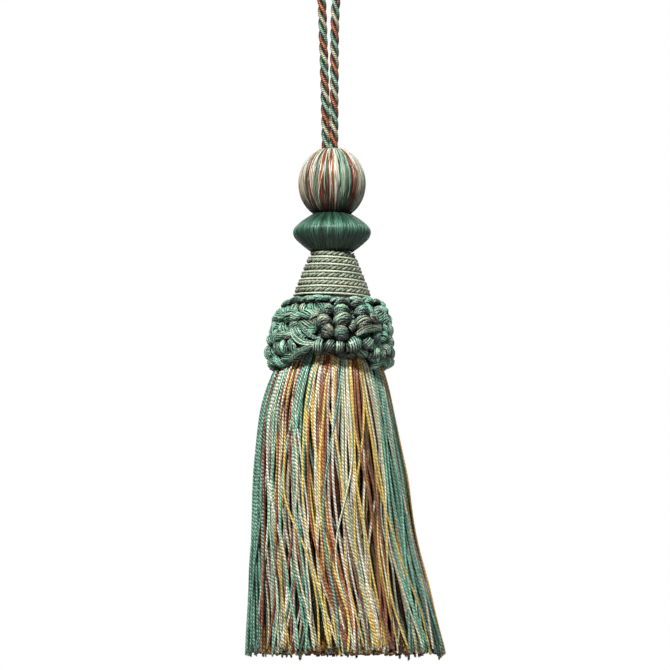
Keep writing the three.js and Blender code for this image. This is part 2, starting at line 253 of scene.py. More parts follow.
def makePiece(name, shells, material, node):
    # joins the shells into one mesh in metres, with a yarn UV map (round, along in mm) and a tone colour
    bases = np.cumsum([0] + [len(s["points"]) for s in shells])
    points = np.concatenate([s["points"] for s in shells]) * mm
    tones = np.concatenate([s["tone"] for s in shells])
    faces = [f + base for s, base in zip(shells, bases) for f in s["faces"]]
    uvs = [uv for s in shells for uv in s["uvs"]]
    corners = np.concatenate([f.ravel() for f in faces])
    sizes = np.concatenate([np.full(len(f), f.shape[1]) for f in faces])
    mesh = bpy.data.meshes.new(name)
    mesh.vertices.add(len(points))
    mesh.vertices.foreach_set("co", points.astype(np.float32).ravel())
    mesh.loops.add(len(corners))
    mesh.loops.foreach_set("vertex_index", corners.astype(np.int32))
    mesh.polygons.add(len(sizes))
    mesh.polygons.foreach_set("loop_start", (np.cumsum(sizes) - sizes).astype(np.int32))
    mesh.update(calc_edges=True)
    layer = mesh.uv_layers.new(name="yarn")
    layer.uv.foreach_set("vector", np.concatenate([uv.reshape(-1) for uv in uvs]).astype(np.float32))
    colour = mesh.color_attributes.new("tone", "FLOAT_COLOR", "POINT")
    rgba = np.concatenate([tones, np.ones((len(tones), 1))], axis=1)
    colour.data.foreach_set("color", rgba.astype(np.float32).ravel())
    mesh.shade_smooth()
    mesh.materials.append(material)
    obj = bpy.data.objects.new(name, mesh)
    bpy.context.collection.objects.link(obj)
    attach(obj, "root")
    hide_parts(node)
    print(name, "done,", int((sizes - 2).sum()), "triangles")
    return obj


# Materials: one of plied or smooth yarn, with each piece's own values, from two shared node groups.
yarnLook = dict(
    plies=1, turn=400,                   # plies seen round the yarn, and millimetres in a turn of them
    groove=0.0, crown=1.6, bump=0.0,     # painted shade in the grooves between plies, its steepness, and the depth of the grooves
    uneven=0.0,                          # how much lighter one half of the plies is
    filaments=8, length=3.0, lay=0.0,    # filaments round the yarn, their length in mm, and their lean
    fibreBump=0.02, rough=0.3, roughSpread=0.16,
    gloss=0.5, sheen=0.0, sheenRough=0.4, coat=0.0, coatRough=0.22,
    hollow=0.0, edge=1.3,                # painted shade on the side turned in among its neighbours, and how steep
    deep=0.0,                            # how much the dye deepens where the painted shade is dark
    band=None,                           # fine yarn laid across the strand, with painted shade between its ribs
)
noiseRange = (0.3, 0.7)                  # nearly all of the noise lies between these
silkNoise = dict(streaks={"Scale": 1.0, "Detail": 2.0}, patches={"Scale": 0.23, "Detail": 1.0},
                 tint=(0.78, 1.2), patch=(0.86, 1.13))


def setInputs(tree, node, inputs):
    # wires each named input of the node to the socket that is given for it, or sets it to the value
    for key, value in inputs.items():
        if isinstance(value, bpy.types.NodeSocket):
            tree.links.new(value, node.inputs[key])
        else:
            node.inputs[key].default_value = value


def nodeTools(tree):
    # add makes a node with its properties and inputs; compute makes a Math node and gives its result
    def add(kind, inputs=None, **settings):
        node = tree.nodes.new(kind)
        for key, value in settings.items():
            setattr(node, key, value)
        setInputs(tree, node, inputs or {})
        return node

    def compute(operation, *values):
        return add("ShaderNodeMath", dict(enumerate(values)), operation=operation).outputs[0]
    return add, compute


def newGroup(name, inputs, outputs):
    # an empty group with number sockets: gives its tree, the sockets inside it and its output node
    tree = bpy.data.node_groups.new(name, "ShaderNodeTree")
    for label, value in inputs.items():
        socket = tree.interface.new_socket(name=label, in_out="INPUT", socket_type="NodeSocketFloat")
        socket.default_value = value
    for label in outputs:
        tree.interface.new_socket(name=label, in_out="OUTPUT", socket_type="NodeSocketFloat")
    source = tree.nodes.new("NodeGroupInput")
    return tree, source.outputs, tree.nodes.new("NodeGroupOutput")


def spreadOver(add, noise, low, high):  # maps the noise's range onto low to high
    return add("ShaderNodeMapRange", {"Value": noise, "From Min": noiseRange[0], "From Max": noiseRange[1],
                                      "To Min": low, "To Max": high}).outputs[0]


def plyTwistGroup():
    # p = frac(plies * (round + along / turn)) goes across a ply from 0 to 1. Its height is sqrt(1 - (2 p -
    # 1)^2), and its painted shade in the grooves between plies is 1 - g + g * height ^ crown, g being how
    # dark the grooves are painted.
    tree, given, made = newGroup(
        "ply twist", {"Round": 0, "Along": 0, "Plies": 2, "Turn": 3, "Groove": 0.6, "Crown": 1.6},
        ["Height", "Shade", "Ply"])
    add, compute = nodeTools(tree)
    place = compute("ADD", given["Round"], compute("DIVIDE", given["Along"], given["Turn"]))
    share = compute("FRACT", compute("MULTIPLY", place, given["Plies"]))
    off = compute("MULTIPLY_ADD", share, 2.0, -1.0)
    dome = compute("SUBTRACT", 1.0, compute("MULTIPLY", off, off))
    height = compute("SQRT", compute("MAXIMUM", dome, 0.0))
    low = compute("SUBTRACT", 1.0, given["Groove"])
    crown = compute("POWER", height, given["Crown"])
    setInputs(tree, made, {
        "Height": height, "Shade": compute("ADD", low, compute("MULTIPLY", given["Groove"], crown)),
        "Ply": compute("GREATER_THAN", compute("FRACT", place), 0.5)})
    return tree


def silkGroup():
    # filaments: noise drawn out along the yarn, in fine streaks and broad patches, leaning by the lay
    tree, given, made = newGroup(
        "silk filaments", {"Round": 0, "Along": 0, "Count": 16, "Length": 3, "Lay": 0.0},
        ["Height", "Tint", "Patch"])
    add, compute = nodeTools(tree)
    across = compute("ADD", given["Round"], compute("MULTIPLY", given["Along"], given["Lay"]))
    spot = add("ShaderNodeCombineXYZ", {"X": compute("MULTIPLY", across, given["Count"]),
                                        "Y": compute("DIVIDE", given["Along"], given["Length"])})
    streaks, patches = (
        add("ShaderNodeTexNoise", {"Vector": spot.outputs[0], **silkNoise[key]}).outputs["Fac"]
        for key in ("streaks", "patches"))
    setInputs(tree, made, {"Height": streaks, "Tint": spreadOver(add, streaks, *silkNoise["tint"]),
                           "Patch": spreadOver(add, patches, *silkNoise["patch"])})
    return tree


plyTwist = plyTwistGroup()
silkFilaments = silkGroup()


def yarnMaterial(name, look):
    # the yarn's own tone, with painted shade in the twist's grooves and on the side turned in, streaked by
    # its filaments; where this light factor is low the colour is also deeper, tone ^ (1 + deep * (1 - light))
    v = {**yarnLook, **look}
    material = bpy.data.materials.new(name)
    material.use_nodes = True
    tree = material.node_tree
    add, compute = nodeTools(tree)
    split = add("ShaderNodeSeparateXYZ", {"Vector": add("ShaderNodeUVMap", uv_map="yarn").outputs[0]})
    around, along = split.outputs["X"], split.outputs["Y"]
    tone = add("ShaderNodeAttribute", attribute_name="tone")
    twist = add("ShaderNodeGroup", {"Round": around, "Along": along, "Plies": v["plies"], "Turn": v["turn"],
                                    "Groove": v["groove"], "Crown": v["crown"]}, node_tree=plyTwist)
    silk = add("ShaderNodeGroup", {"Round": around, "Along": along, "Count": v["filaments"],
                                   "Length": v["length"], "Lay": v["lay"]}, node_tree=silkFilaments)
    light = compute("MULTIPLY", twist.outputs["Shade"], silk.outputs["Tint"])
    light = compute("MULTIPLY", light, silk.outputs["Patch"])
    if v["uneven"]:
        ply = compute("MULTIPLY_ADD", twist.outputs["Ply"], v["uneven"], 1 - v["uneven"] / 2)
        light = compute("MULTIPLY", light, ply)
    # painted shade on the side of the yarn turned in among its neighbours
    if v["hollow"]:
        outer = compute("POWER", compute("SINE", compute("MULTIPLY", around, math.pi)), v["edge"])
        light = compute("MULTIPLY", light, compute("MULTIPLY_ADD", outer, v["hollow"], 1 - v["hollow"]))
    height = compute("MULTIPLY", twist.outputs["Height"], v["bump"])
    height = compute("ADD", height, compute("MULTIPLY", silk.outputs["Height"], v["fibreBump"]))
    if v["band"]:  # ribs of the pitch, leaning by the slant, with painted shade in their grooves
        band = v["band"]
        rib = add("ShaderNodeGroup", {"Round": around, "Along": along, "Plies": band["slant"],
                                      "Turn": band["pitch"] * band["slant"], "Groove": band["groove"]},
                  node_tree=plyTwist)
        light = compute("MULTIPLY", light, rib.outputs["Shade"])
        height = compute("ADD", height, compute("MULTIPLY", rib.outputs["Height"], band["bump"]))
    # the dye deepens where the painted shade is dark
    deepInShade = add("ShaderNodeGamma", {"Color": tone.outputs["Color"],
                                     "Gamma": compute("MULTIPLY_ADD", light, -v["deep"], 1 + v["deep"])})
    colour = add("ShaderNodeVectorMath", {0: deepInShade.outputs[0], "Scale": light}, operation="SCALE")
    relief = add("ShaderNodeBump", {"Height": height, "Distance": mm, "Strength": 1.0})
    setInputs(tree, tree.nodes["Principled BSDF"], {
        "Base Color": colour.outputs[0], "Normal": relief.outputs[0],
        "Roughness": spreadOver(add, silk.outputs["Height"], v["rough"], v["rough"] + v["roughSpread"]),
        "Specular IOR Level": v["gloss"], "Sheen Weight": v["sheen"], "Sheen Roughness": v["sheenRough"],
        "Coat Weight": v["coat"], "Coat Roughness": v["coatRough"]})
    return material


# The doubled cord: three strands, wound left-handed, from the ball up over the hang point and back.
loopCord = dict(
    # x and z of the cord's middle, as the solid's route runs
    route=[(-1.75, -75.7), (-1.8, -71.5), (-1.88, -66.5), (-2.02, -61), (-2.2, -55), (-2.36, -49),
           (-2.58, -43.5), (-2.75, -38), (-2.97, -32.6), (-3.4, -27.2), (-4.25, -21.6), (-5.35, -16),
           (-6.3, -10.6), (-6.6, -5.4), (-4.67, -0.66), (0, 1.3), (4.67, -0.66), (6.6, -5.4),
           (6.15, -10.6), (4.85, -16), (3.3, -21.6), (1.95, -27.2), (1.12, -32.6), (0.86, -38),
           (0.74, -43.5), (0.7, -49), (0.66, -55), (0.62, -61), (0.58, -66.5), (0.56, -71.5),
           (0.55, -75.7)],
    diameter=2.6, plyRadius=0.65, plyOffset=0.7, turn=10.8, sides=10, stepsPerTurn=22, samples=900,
    cordPoints=120,                  # points along the route, drawn into a line that is not used further
    sunk=1.7,                        # how far the feet go down into the ball's hole
    rustFront=(-34.5, -41.0),        # heights at which the rust strand faces the front, left and right leg
    # each strand's dye, the lighter one that it drifts towards, and how fast, in radians a millimetre
    strands=[("rust", "copper", 0.9), ("deepTeal", "mint", 1.3), ("taupe", "sage", 1.7)],
    drift=(0.25, 0.45),              # share of the lighter dye that is always there, and that comes and goes
    light=1.3, starts=[0, 37, 71], phase=6, patchy=(0.2, 1), seed=11,
    look=dict(filaments=7, length=0.8, lay=1.1, fibreBump=0.05, gloss=0.7, sheen=0.05, hollow=0.99, edge=5,
              deep=1.3, band=dict(pitch=0.58, slant=1, groove=0.8, bump=0.2)),
)


def loopPath():
    # the cord's middle in even steps, its feet sunk in the ball, and the turns of the strands at each step:
    # one in each `turn` millimetres, eased so that the rust strand faces the front at its two heights
    c = loopCord
    (leftX, leftFoot), (rightX, rightFoot) = c["route"][0], c["route"][-1]
    route = [(leftX, leftFoot - c["sunk"])] + c["route"] + [(rightX, rightFoot - c["sunk"])]
    flat = smoothCurve(route, c["samples"])
    path = np.stack([flat[:, 0], np.zeros(len(flat)), flat[:, 1]], axis=1)
    run = runLength(path[None])[0]
    even = np.linspace(0, run[-1], int(run[-1] / c["turn"] * c["stepsPerTurn"]))
    path = np.stack([np.interp(even, run, path[:, k]) for k in range(3)], axis=1)
    summit = path[:, 2].argmax()
    left = np.interp(c["rustFront"][0], path[:summit, 2], even[:summit])
    right = np.interp(-c["rustFront"][1], -path[summit:, 2], even[summit:])
    between = round((right - left) / c["turn"])      # whole turns between the two rust places
    turns = np.interp(even, [0, left, right, even[-1]],
                      [-left / c["turn"], 0, between, between + (even[-1] - right) / c["turn"]])
    return path[None], even, turns


def buildLoopCord():
    # three strand tubes wound about the route; colour = dye + (lighter dye - dye) * a slow wave
    c = loopCord
    path, run, turns = loopPath()
    strands = woundRound(path, frontward, tau * (0.25 - turns + np.arange(3)[:, None] / 3), c["plyOffset"])
    rng = np.random.default_rng(c["seed"])
    base, lighter = (np.array([dyed[row[k]] for row in c["strands"]])[:, None] for k in (0, 1))
    pace = np.array([[row[2]] for row in c["strands"]])
    swing = 0.5 + 0.5 * np.sin(run * pace + rng.uniform(0, c["phase"], (3, 1)))
    always, sometimes = c["drift"]
    mix = always + sometimes * swing * rng.uniform(*c["patchy"], (3, len(run)))
    tone = np.minimum((base + (lighter - base) * mix[..., None]) * c["light"], lightest)
    shell = tubes(strands, unit(strands - path), c["plyRadius"], c["sides"], tone, startAt=c["starts"])
    material = yarnMaterial("loop cord", c["look"])
    cord = makePiece("loopCord", [shell], material, "loop_cord")
    line = smoothCurve(c["route"], c["cordPoints"])


buildLoopCord()

# The round head, wrapped top to bottom in fine silk.
headBall = dict(
    radius=9.8, halfHeight=10.6, centre=-85.9, stations=14, topGap=0.05,
    funnel=[(1.5, -79.0), (1.7, -77.4), (2.5, -76.35)],    # radius and height round the cord's feet
    yarns=320, sides=5, steps=25, thick=0.14, thinnest=0.05, overlap=1.7, lean=0.05, wander=0.03,
    lift=(-0.16, 0.05), widths=(0.75, 1.25), thicks=(0.8, 1.3), cycles=(0.5, 1.6),
    spread=0.26, strangers=0.12, dark=0.88, seed=21,
    flatter=0.86,                      # upright share of the direction in which a yarn faces
    # dyes that lie on top below the middle, and under the light ones above it, and how much
    order=dict(fox=1.0, fern=0.5, moss=0.6, bark=0.3), light=-0.7, swap=0.1, swell=0.3,
    shadeBelow=0.8, shadeBelowPower=1.2,           # painted shade: the lower half grows darker and deeper towards its bottom
    # runs of yarn across the front from left to right: dye and degrees round the ball
    front=[("taupe", 10), ("blush", 10), ("silver", 7), ("taupe", 6), ("fox", 17), ("cream", 4), ("mint", 4),
           ("fern", 4), ("cream", 4), ("fox", 7), ("sage", 4), ("fern", 3), ("fox", 13), ("cream", 5),
           ("silver", 6), ("mint", 5), ("sage", 5), ("fern", 3), ("moss", 8), ("fox", 14), ("cream", 4),
           ("blush", 8), ("taupe", 6), ("silver", 10), ("sage", 10)],
    others=["sage", "silver", "fox", "cream", "fern", "taupe", "fox", "mint", "silver", "bark", "moss"],
    # a few light threads that lie over the rest and lean more
    over=dict(count=46, lean=0.16, wander=0.05, cycles=(0.3, 1.2), lift=0.08, width=0.11, thick=0.12,
              sides=5, spread=0.15,
              dyes=["cream", "mint", "silver", "straw", "cream", "fern", "fox"]),
    inside=0.35, formSides=48,         # the dark mould lies this far under the yarns
    look=dict(filaments=9, length=2.5, fibreBump=0.1, rough=0.32, sheen=0.03, hollow=0.9, edge=2, deep=1.0),
)


def wrapPaths(profile, angles, drift, wander, lift):
    # meridian lines: radius and height from the profile, the angle drifting as the yarn goes down
    t = np.linspace(0, 1, len(profile))
    turn = angles[:, None] + drift[:, None] * (t - 0.5) + wander
    radius = profile[None, :, 0] + lift
    return np.stack([radius * np.cos(turn), radius * np.sin(turn),
                     np.broadcast_to(profile[None, :, 1], turn.shape)], axis=-1)


def ballProfile():
    # the funnel round the cord's feet, then an ellipse: r = R cos(b), z = centre + H sin(b)
    b = headBall
    ends = [math.asin((z - b["centre"]) / b["halfHeight"]) for z in (ballTop - b["topGap"], ballBottom)]
    rise = np.linspace(*ends, b["stations"])
    over = np.stack([b["radius"] * np.cos(rise), b["centre"] + b["halfHeight"] * np.sin(rise)], axis=1)
    return smoothCurve(np.concatenate([b["funnel"], over]), b["steps"])


def ballOutward(paths):  # away from the ball's middle, a little less so upwards
    return unit((paths - np.array([0, 0, headBall["centre"]])) * np.array([1, 1, headBall["flatter"]]))


def buildHeadBall():
    # yarns lie side by side down the profile; one lies higher or lower by swap * order * (2 t - 1), and its
    # colour, with painted shade on the lower half, is dye ^ (1 + s * below) * dark * (1 - s * below ^ power),
    # s being the share of painted shade
    b = headBall
    n, t, profile = b["yarns"], np.linspace(0, 1, b["steps"]), ballProfile()
    rng = np.random.default_rng(b["seed"])
    angles, names = runsOfYarn(b["front"], b["others"], n, rng)
    names = mixedIn(rng, names, b["others"], b["strangers"])
    wander = b["wander"] * wave(rng, n, t, *b["cycles"])
    order = np.array([b["order"].get(name, b["light"]) for name in names])[:, None] * (2 * t - 1)
    lift = rng.uniform(*b["lift"], (n, 1)) - b["thick"] + b["swap"] * order
    paths = wrapPaths(profile, angles, rng.normal(0, b["lean"], n), wander, lift)
    width = math.pi * profile[None, :, 0] / n * b["overlap"] * rng.uniform(*b["widths"], (n, 1))
    width = np.maximum(width * (1 + b["swell"] * order), b["thinnest"])
    thick = b["thick"] * rng.uniform(*b["thicks"], (n, 1))
    below = np.clip(2 * t - 1, 0, 1)
    # painted shade, growing towards the bottom of the ball
    paintedShading = (b["dark"] * (1 - b["shadeBelow"] * below ** b["shadeBelowPower"]))[:, None]
    tone = shades(names, rng, b["spread"])[:, None] ** (1 + b["shadeBelow"] * below)[:, None] * paintedShading
    wraps = tubes(paths, ballOutward(paths), width, b["sides"], tone, thick=thick, startAt=anyStart(rng, n))
    over = b["over"]
    n = over["count"]
    angles = tau * rng.uniform(0, 1, n)
    wander = over["wander"] * wave(rng, n, t, *over["cycles"])
    paths = wrapPaths(profile, angles, rng.normal(0, over["lean"], n), wander, over["lift"] - b["thick"])
    tone = shades(picked(rng, over["dyes"], n), rng, over["spread"])[:, None] * paintedShading
    threads = tubes(paths, ballOutward(paths), over["width"], over["sides"], tone, thick=over["thick"],
                    startAt=anyStart(rng, n))
    form = turnedForm(profile[:, 0] - b["inside"], profile[:, 1], b["formSides"], dyed["umber"])
    material = yarnMaterial("ball silk", b["look"])
    makePiece("ballWraps", [wraps, threads, form], material, "head_ball")


buildHeadBall()

# The disc, wrapped top to bottom in dark silk.
headDisc = dict(
    outline=[(5.5, 0), (7.3, 1.1), (9.0, 2.3), (10.35, 3.5), (11.2, 4.7), (11.3, 5.7), (10.75, 7.0),
             (9.6, 8.2), (8.2, 9.4), (6.8, 10.5), (6.1, 11.0)],   # radius and depth, as in the CAD
    yarns=270, sides=5, steps=22, thick=0.11, overlap=1.9, lean=0.05, wander=0.01, jitter=0.3,
    lift=(-0.1, 0.06), widths=(0.7, 1.3), thicks=(0.8, 1.3), cycles=(0.5, 2.0), seed=31,
    dyes=dict(bottle=0.6, bottleDark=0.2, bottleLight=0.2), spread=0.16,
    # painted light and shade from the top to the bottom of the profile, as shares of the dye's lightness: a
    # painted highlight band on the upper shoulder and painted shade on the lower face; and how unevenly it
    # starts
    paintedShading=[(0, 0.36), (0.28, 0.54), (0.36, 0.9), (0.41, 1.45), (0.46, 1.2), (0.52, 0.75), (0.6, 0.5),
          (1, 0.24)],
    paintedShadingJitter=0.025, inside=0.3, formSides=60,
    look=dict(filaments=7, fibreBump=0.16, roughSpread=0.25, gloss=0.55, hollow=0.6, deep=0.8),
)


def buildHeadDisc():
    # yarns down the profile as on the ball; each faces along the profile's normal, turned to its angle
    d = headDisc
    profile = smoothCurve([(r, discTop - down) for r, down in d["outline"]], d["steps"])
    rng = np.random.default_rng(d["seed"])
    n, t = d["yarns"], np.linspace(0, 1, d["steps"])
    angles = tau * (np.arange(n) + rng.uniform(-d["jitter"], d["jitter"], n)) / n
    dyeNames = list(d["dyes"])
    names = [dyeNames[k] for k in rng.choice(len(dyeNames), n, p=list(d["dyes"].values()))]
    wander = d["wander"] * wave(rng, n, t, *d["cycles"])
    lift = rng.uniform(*d["lift"], (n, 1)) - d["thick"]
    paths = wrapPaths(profile, angles, rng.normal(0, d["lean"], n), wander, lift)
    width = math.pi * profile[None, :, 0] / n * d["overlap"] * rng.uniform(*d["widths"], (n, 1))
    slope = np.gradient(profile, axis=0)
    normal = unit(np.stack([-slope[:, 1], slope[:, 0]], axis=1))
    angle = np.arctan2(paths[..., 1], paths[..., 0])
    outward = np.stack([normal[:, 0] * np.cos(angle), normal[:, 0] * np.sin(angle),
                        np.broadcast_to(normal[:, 1], angle.shape)], axis=-1)
    # painted highlight band and painted shade down the profile, its edge a little uneven from yarn to yarn
    place = t + rng.normal(0, d["paintedShadingJitter"], (n, 1))
    tone = shades(names, rng, d["spread"])[:, None] * tableAt(d["paintedShading"], place)[..., None]
    thick = d["thick"] * rng.uniform(*d["thicks"], (n, 1))
    wraps = tubes(paths, outward, width, d["sides"], tone, thick=thick, startAt=anyStart(rng, n))
    form = turnedForm(profile[:, 0] - d["inside"], profile[:, 1], d["formSides"], dyed["bottleDark"])
    material = yarnMaterial("disc silk", d["look"])
    makePiece("discWraps", [wraps, form], material, "head_disc")


buildHeadDisc()

# The cone, wound with a sage two-ply cord and a cream thread side by side.
headCone = dict(
    outline=[(5.9, 0), (7.0, 2.2), (8.0, 4.6), (9.0, 7.2), (10.2, 10.2), (11.3, 13.5)],
    pitch=2.2, stepsRound=150, margin=0.1, seed=41,
    tipUp=4.0,                         # how far the cords face upwards, for a radius of that size in level
    # place of each winding within the pitch, and how deep it is sunk into the outline
    cord=dict(place=0.12, sunk=0.38, plyRadius=0.38, plyOffset=0.34, turn=-3.1, sides=7, starts=[0, 31]),
    thread=dict(place=0.63, sunk=-0.16, radius=0.3, uneven=0.06, pace=0.19, sides=7),
    # the cord's colour is sage * (least + more * mix) + lichen * its share; the mix is a slow wave along each
    # ply, its pace in radians a step, with some grain
    least=0.22, more=0.42, lichen=0.14, pace=0.03, phases=(0, 2), grain=0.25,
    inside=0.45, formSides=48, formDark=0.6,
    foot=(11.3, 16.0),                 # radius and depth at which the dark mould ends in the ruff
    look=dict(filaments=9, length=1.4, lay=0.5, fibreBump=0.06, rough=0.38, gloss=0.6, sheen=0.08,
              hollow=0.35, deep=0.5),
    threadLook=dict(plies=2, turn=1.7, groove=0.25, bump=0.05, length=1.2, rough=0.45, sheen=0.25),
)


def windingPath(place, sunk):
    # helix down the cone: z falls one pitch a turn towards the right, radius from the outline at that
    # height; gives also the direction in which it faces
    c = headCone
    depth = c["outline"][-1][1]
    turns = depth / c["pitch"]
    n = int(turns * c["stepsRound"])
    angle = tau * np.linspace(0, turns, n)
    down = np.linspace(0, depth, n) + (place - 0.5) * c["pitch"]
    keep = (down > c["margin"]) & (down < depth - c["margin"])
    angle, down = angle[keep], down[keep]
    radius = radiusAt(c["outline"], down) - sunk
    line = np.stack([radius * np.cos(angle), radius * np.sin(angle), coneTop - down], axis=1)[None]
    return line, unit(line * np.array([1, 1, 0]) + c["tipUp"] * upward)


def buildHeadCone():
    # two plies wind round the cord's helix; the thread is one tube, a little uneven along its length
    c, cord, thread = headCone, headCone["cord"], headCone["thread"]
    rng = np.random.default_rng(c["seed"])
    line, outward = windingPath(cord["place"], cord["sunk"])
    angle = tau * (runLength(line) / cord["turn"] + np.arange(2)[:, None] / 2)
    plies = woundRound(line, outward, angle, cord["plyOffset"])
    m = plies.shape[1]
    mix = 0.5 + 0.5 * np.sin(np.arange(m) * c["pace"] + np.array(c["phases"])[:, None])
    mix = np.clip(mix + rng.normal(0, c["grain"], (2, m)), 0, 1)[..., None]
    tone = dyed["sage"] * (c["least"] + c["more"] * mix) + dyed["lichen"] * c["lichen"]
    wound = tubes(plies, outward, cord["plyRadius"], cord["sides"], tone, startAt=cord["starts"])
    radii, depths = np.array(c["outline"] + [c["foot"]]).T
    form = turnedForm(radii - c["inside"], coneTop - depths, c["formSides"], dyed["bark"] * c["formDark"])
    makePiece("coneCord", [wound, form], yarnMaterial("cone cord", c["look"]), "head_cone")
    line, outward = windingPath(thread["place"], thread["sunk"])
    swell = np.sin(np.arange(line.shape[1]) * thread["pace"])
    width = thread["radius"] * (1 + thread["uneven"] * swell)[None]
    wound = tubes(line, outward, width, thread["sides"], dyed["thread"][None])
    makePiece("coneThread", [wound], yarnMaterial("cone thread", c["threadLook"]), "head_cone")


buildHeadCone()

# The ruff: rows of plump crocheted stitches, with bobbles, knots and loose cords on its front.
ruff = dict(
    outline=[(11.6, 0), (14.4, 0.9), (16.4, 2.9), (17.4, 5.4), (18.0, 8.4), (18.5, 11.6), (18.6, 15),
             (18.3, 18.2), (17.3, 20.8)],          # radius and depth, as in the CAD
    lean=-0.8,                                     # how far the lower edge hangs to the left
    # crocheted rows from the top: depth of the row's middle, stitches round it, lean of a stitch in degrees,
    # size and lift
    rows=[(0.5, 26, 6, 0.68, 0.2), (2.9, 28, -38, 0.88, -0.6), (5.6, 31, 32, 1, -0.3),
          (8.8, 32, -36, 1, -0.1), (12.1, 33, 34, 1, 0), (15.4, 33, -34, 1, 0), (18.9, 32, 24, 1, 0)],
    upperRows=4,
    # a stitch: its half length, radius, bend and lean, then what is drawn for each: its place along the
    # row in pitches, its depth, size and lift; it is sunk by a share of its radius
    half=2.7, topStretch=1.6, radius=1.3, squash=0.85, bend=0.9, leanSpread=24,
    jitter=0.22, downJitter=0.5, sizes=(0.78, 1.22), lifts=(-0.4, 0.6), sunk=0.95, seed=510,
    # its yarns: how far they wrap past the middle of its sides, and their twist, in radians
    yarns=8, yarnRadius=0.25, twist=1.7, twists=(0.6, 1.2), wrap=0.45, wrapSpread=0.09, reachSpread=0.06,
    widths=(0.85, 1.15), thinEnds=0.3, steps=12, sides=5,
    # painted shade: the least light a stitch's flank keeps and how steep, and the shares by which its ends
    # and the stitches in the front's oval are darkened
    light=2.05, spread=0.16, flank=0.16, flankPower=1.2, endShade=0.6, fieldShade=0.93,
    # the lower edge is drawn up at the front: degrees from the middle of the front, mm
    arch=[(-66, 0), (-57, 0.3), (-45, 0.9), (-35, 2.2), (-27, 3.5), (-17, 4.3), (-9, 3.7), (4, 2.5),
          (17, 1.7), (29, 2.6), (41, 1.4), (52, 0.2), (60, 0)],
    dyes=["lichen", "greySage", "moss", "fern", "teal", "lichen", "fern", "mint", "moss", "teal"],
    # the oval of the front where stitches are sunk and painted dark, a painted shade under the bobbles and
    # knots
    field=dict(x=3.2, down=10.2, halfWidth=8.4, halfHeight=8.8, sunk=2.0, reach=1.15, blend=0.3),
    # the dark core behind the stitches, a stand-in for their shade: its depths, and how far it lies inside
    # the outline
    core=dict(top=1.4, bottom=15.4, rings=16, inside=2.6, hole=2.0, sides=60),
    look=dict(plies=2, turn=2.0, groove=0.45, bump=0.12, length=1.6, lay=0.4, fibreBump=0.03, rough=0.26,
              gloss=0.8, hollow=0.95, edge=2.1, deep=1.5, coat=0.22),
)
ruffDepth = ruff["outline"][-1][1]
fillShare = 0.9       # share of a stitch's radius that its dark filling takes


def ruffRadius(down):
    return radiusAt(ruff["outline"], down)


def ruffPoint(angle, down, lift, drop=0.4):
    # a point of the ruff's surface: the outline's radius, moved out along its slope, sheared to the left
    slope = (ruffRadius(down + drop) - ruffRadius(down - drop)) / (2 * drop)
    across = 1 / np.sqrt(1 + slope**2)
    radius = ruffRadius(down) + lift * across
    height = ruffTop - down + lift * slope * across
    x = radius * np.cos(angle) + ruff["lean"] * down / ruffDepth
    normal = np.stack([np.cos(angle) * across, np.sin(angle) * across, slope * across], axis=-1)
    return np.stack([x, radius * np.sin(angle), height], axis=-1), normal


def frontAngle(x, down):  # angle at which the ruff's front is x across at that depth
    return -np.arccos(np.clip((x - ruff["lean"] * down / ruffDepth) / ruffRadius(down), -1, 1))


def archedDown(angle, down):
    # depth drawn up near the middle of the front: down - arch(angle) * (down / whole depth)^2
    return down - tableAt(ruff["arch"], np.degrees(fromFront(angle))) * (down / ruffDepth) ** 2


def leaningAxes(normal, tilt):
    # on the surface, right = Z x normal and up = normal x right; the axis leans by the tilt from right to
    # up, and cross = normal x axis
    right = unit(np.cross(upward, normal))
    up = np.cross(normal, right)
    axis = np.cos(tilt) * right + np.sin(tilt) * up
    return right, up, axis, np.cross(normal, axis)


def spindle(t):  # radius of a stitch or bobble from end to end: (1 - |t|^2.2)^0.6
    return (1 - np.abs(t) ** 2.2) ** 0.6


def barrel(t):  # radius of a coiled knot, with blunter ends: (1 - |t|^2.4)^0.5
    return (1 - np.abs(t) ** 2.4) ** 0.5


def filling(middle, normal, reach, squash, sides=8):
    # a dark body in the shadow dye inside a stitch's yarns, flatter than wide; it stands in for the shade
    # between them
    return tubes(middle, normal, reach, sides, dyed["shadow"][None], thick=reach * squash)


def inField(place):
    # 1 in the oval of the front, falling to 0 over its blend at the edge and at the back
    field = ruff["field"]
    x = (place[:, 0] - field["x"]) / field["halfWidth"]
    y = (ruffTop - place[:, 2] - field["down"]) / field["halfHeight"]
    return np.clip(field["reach"] - np.hypot(x, y), 0, field["blend"]) / field["blend"] * (place[:, 1] < 0)


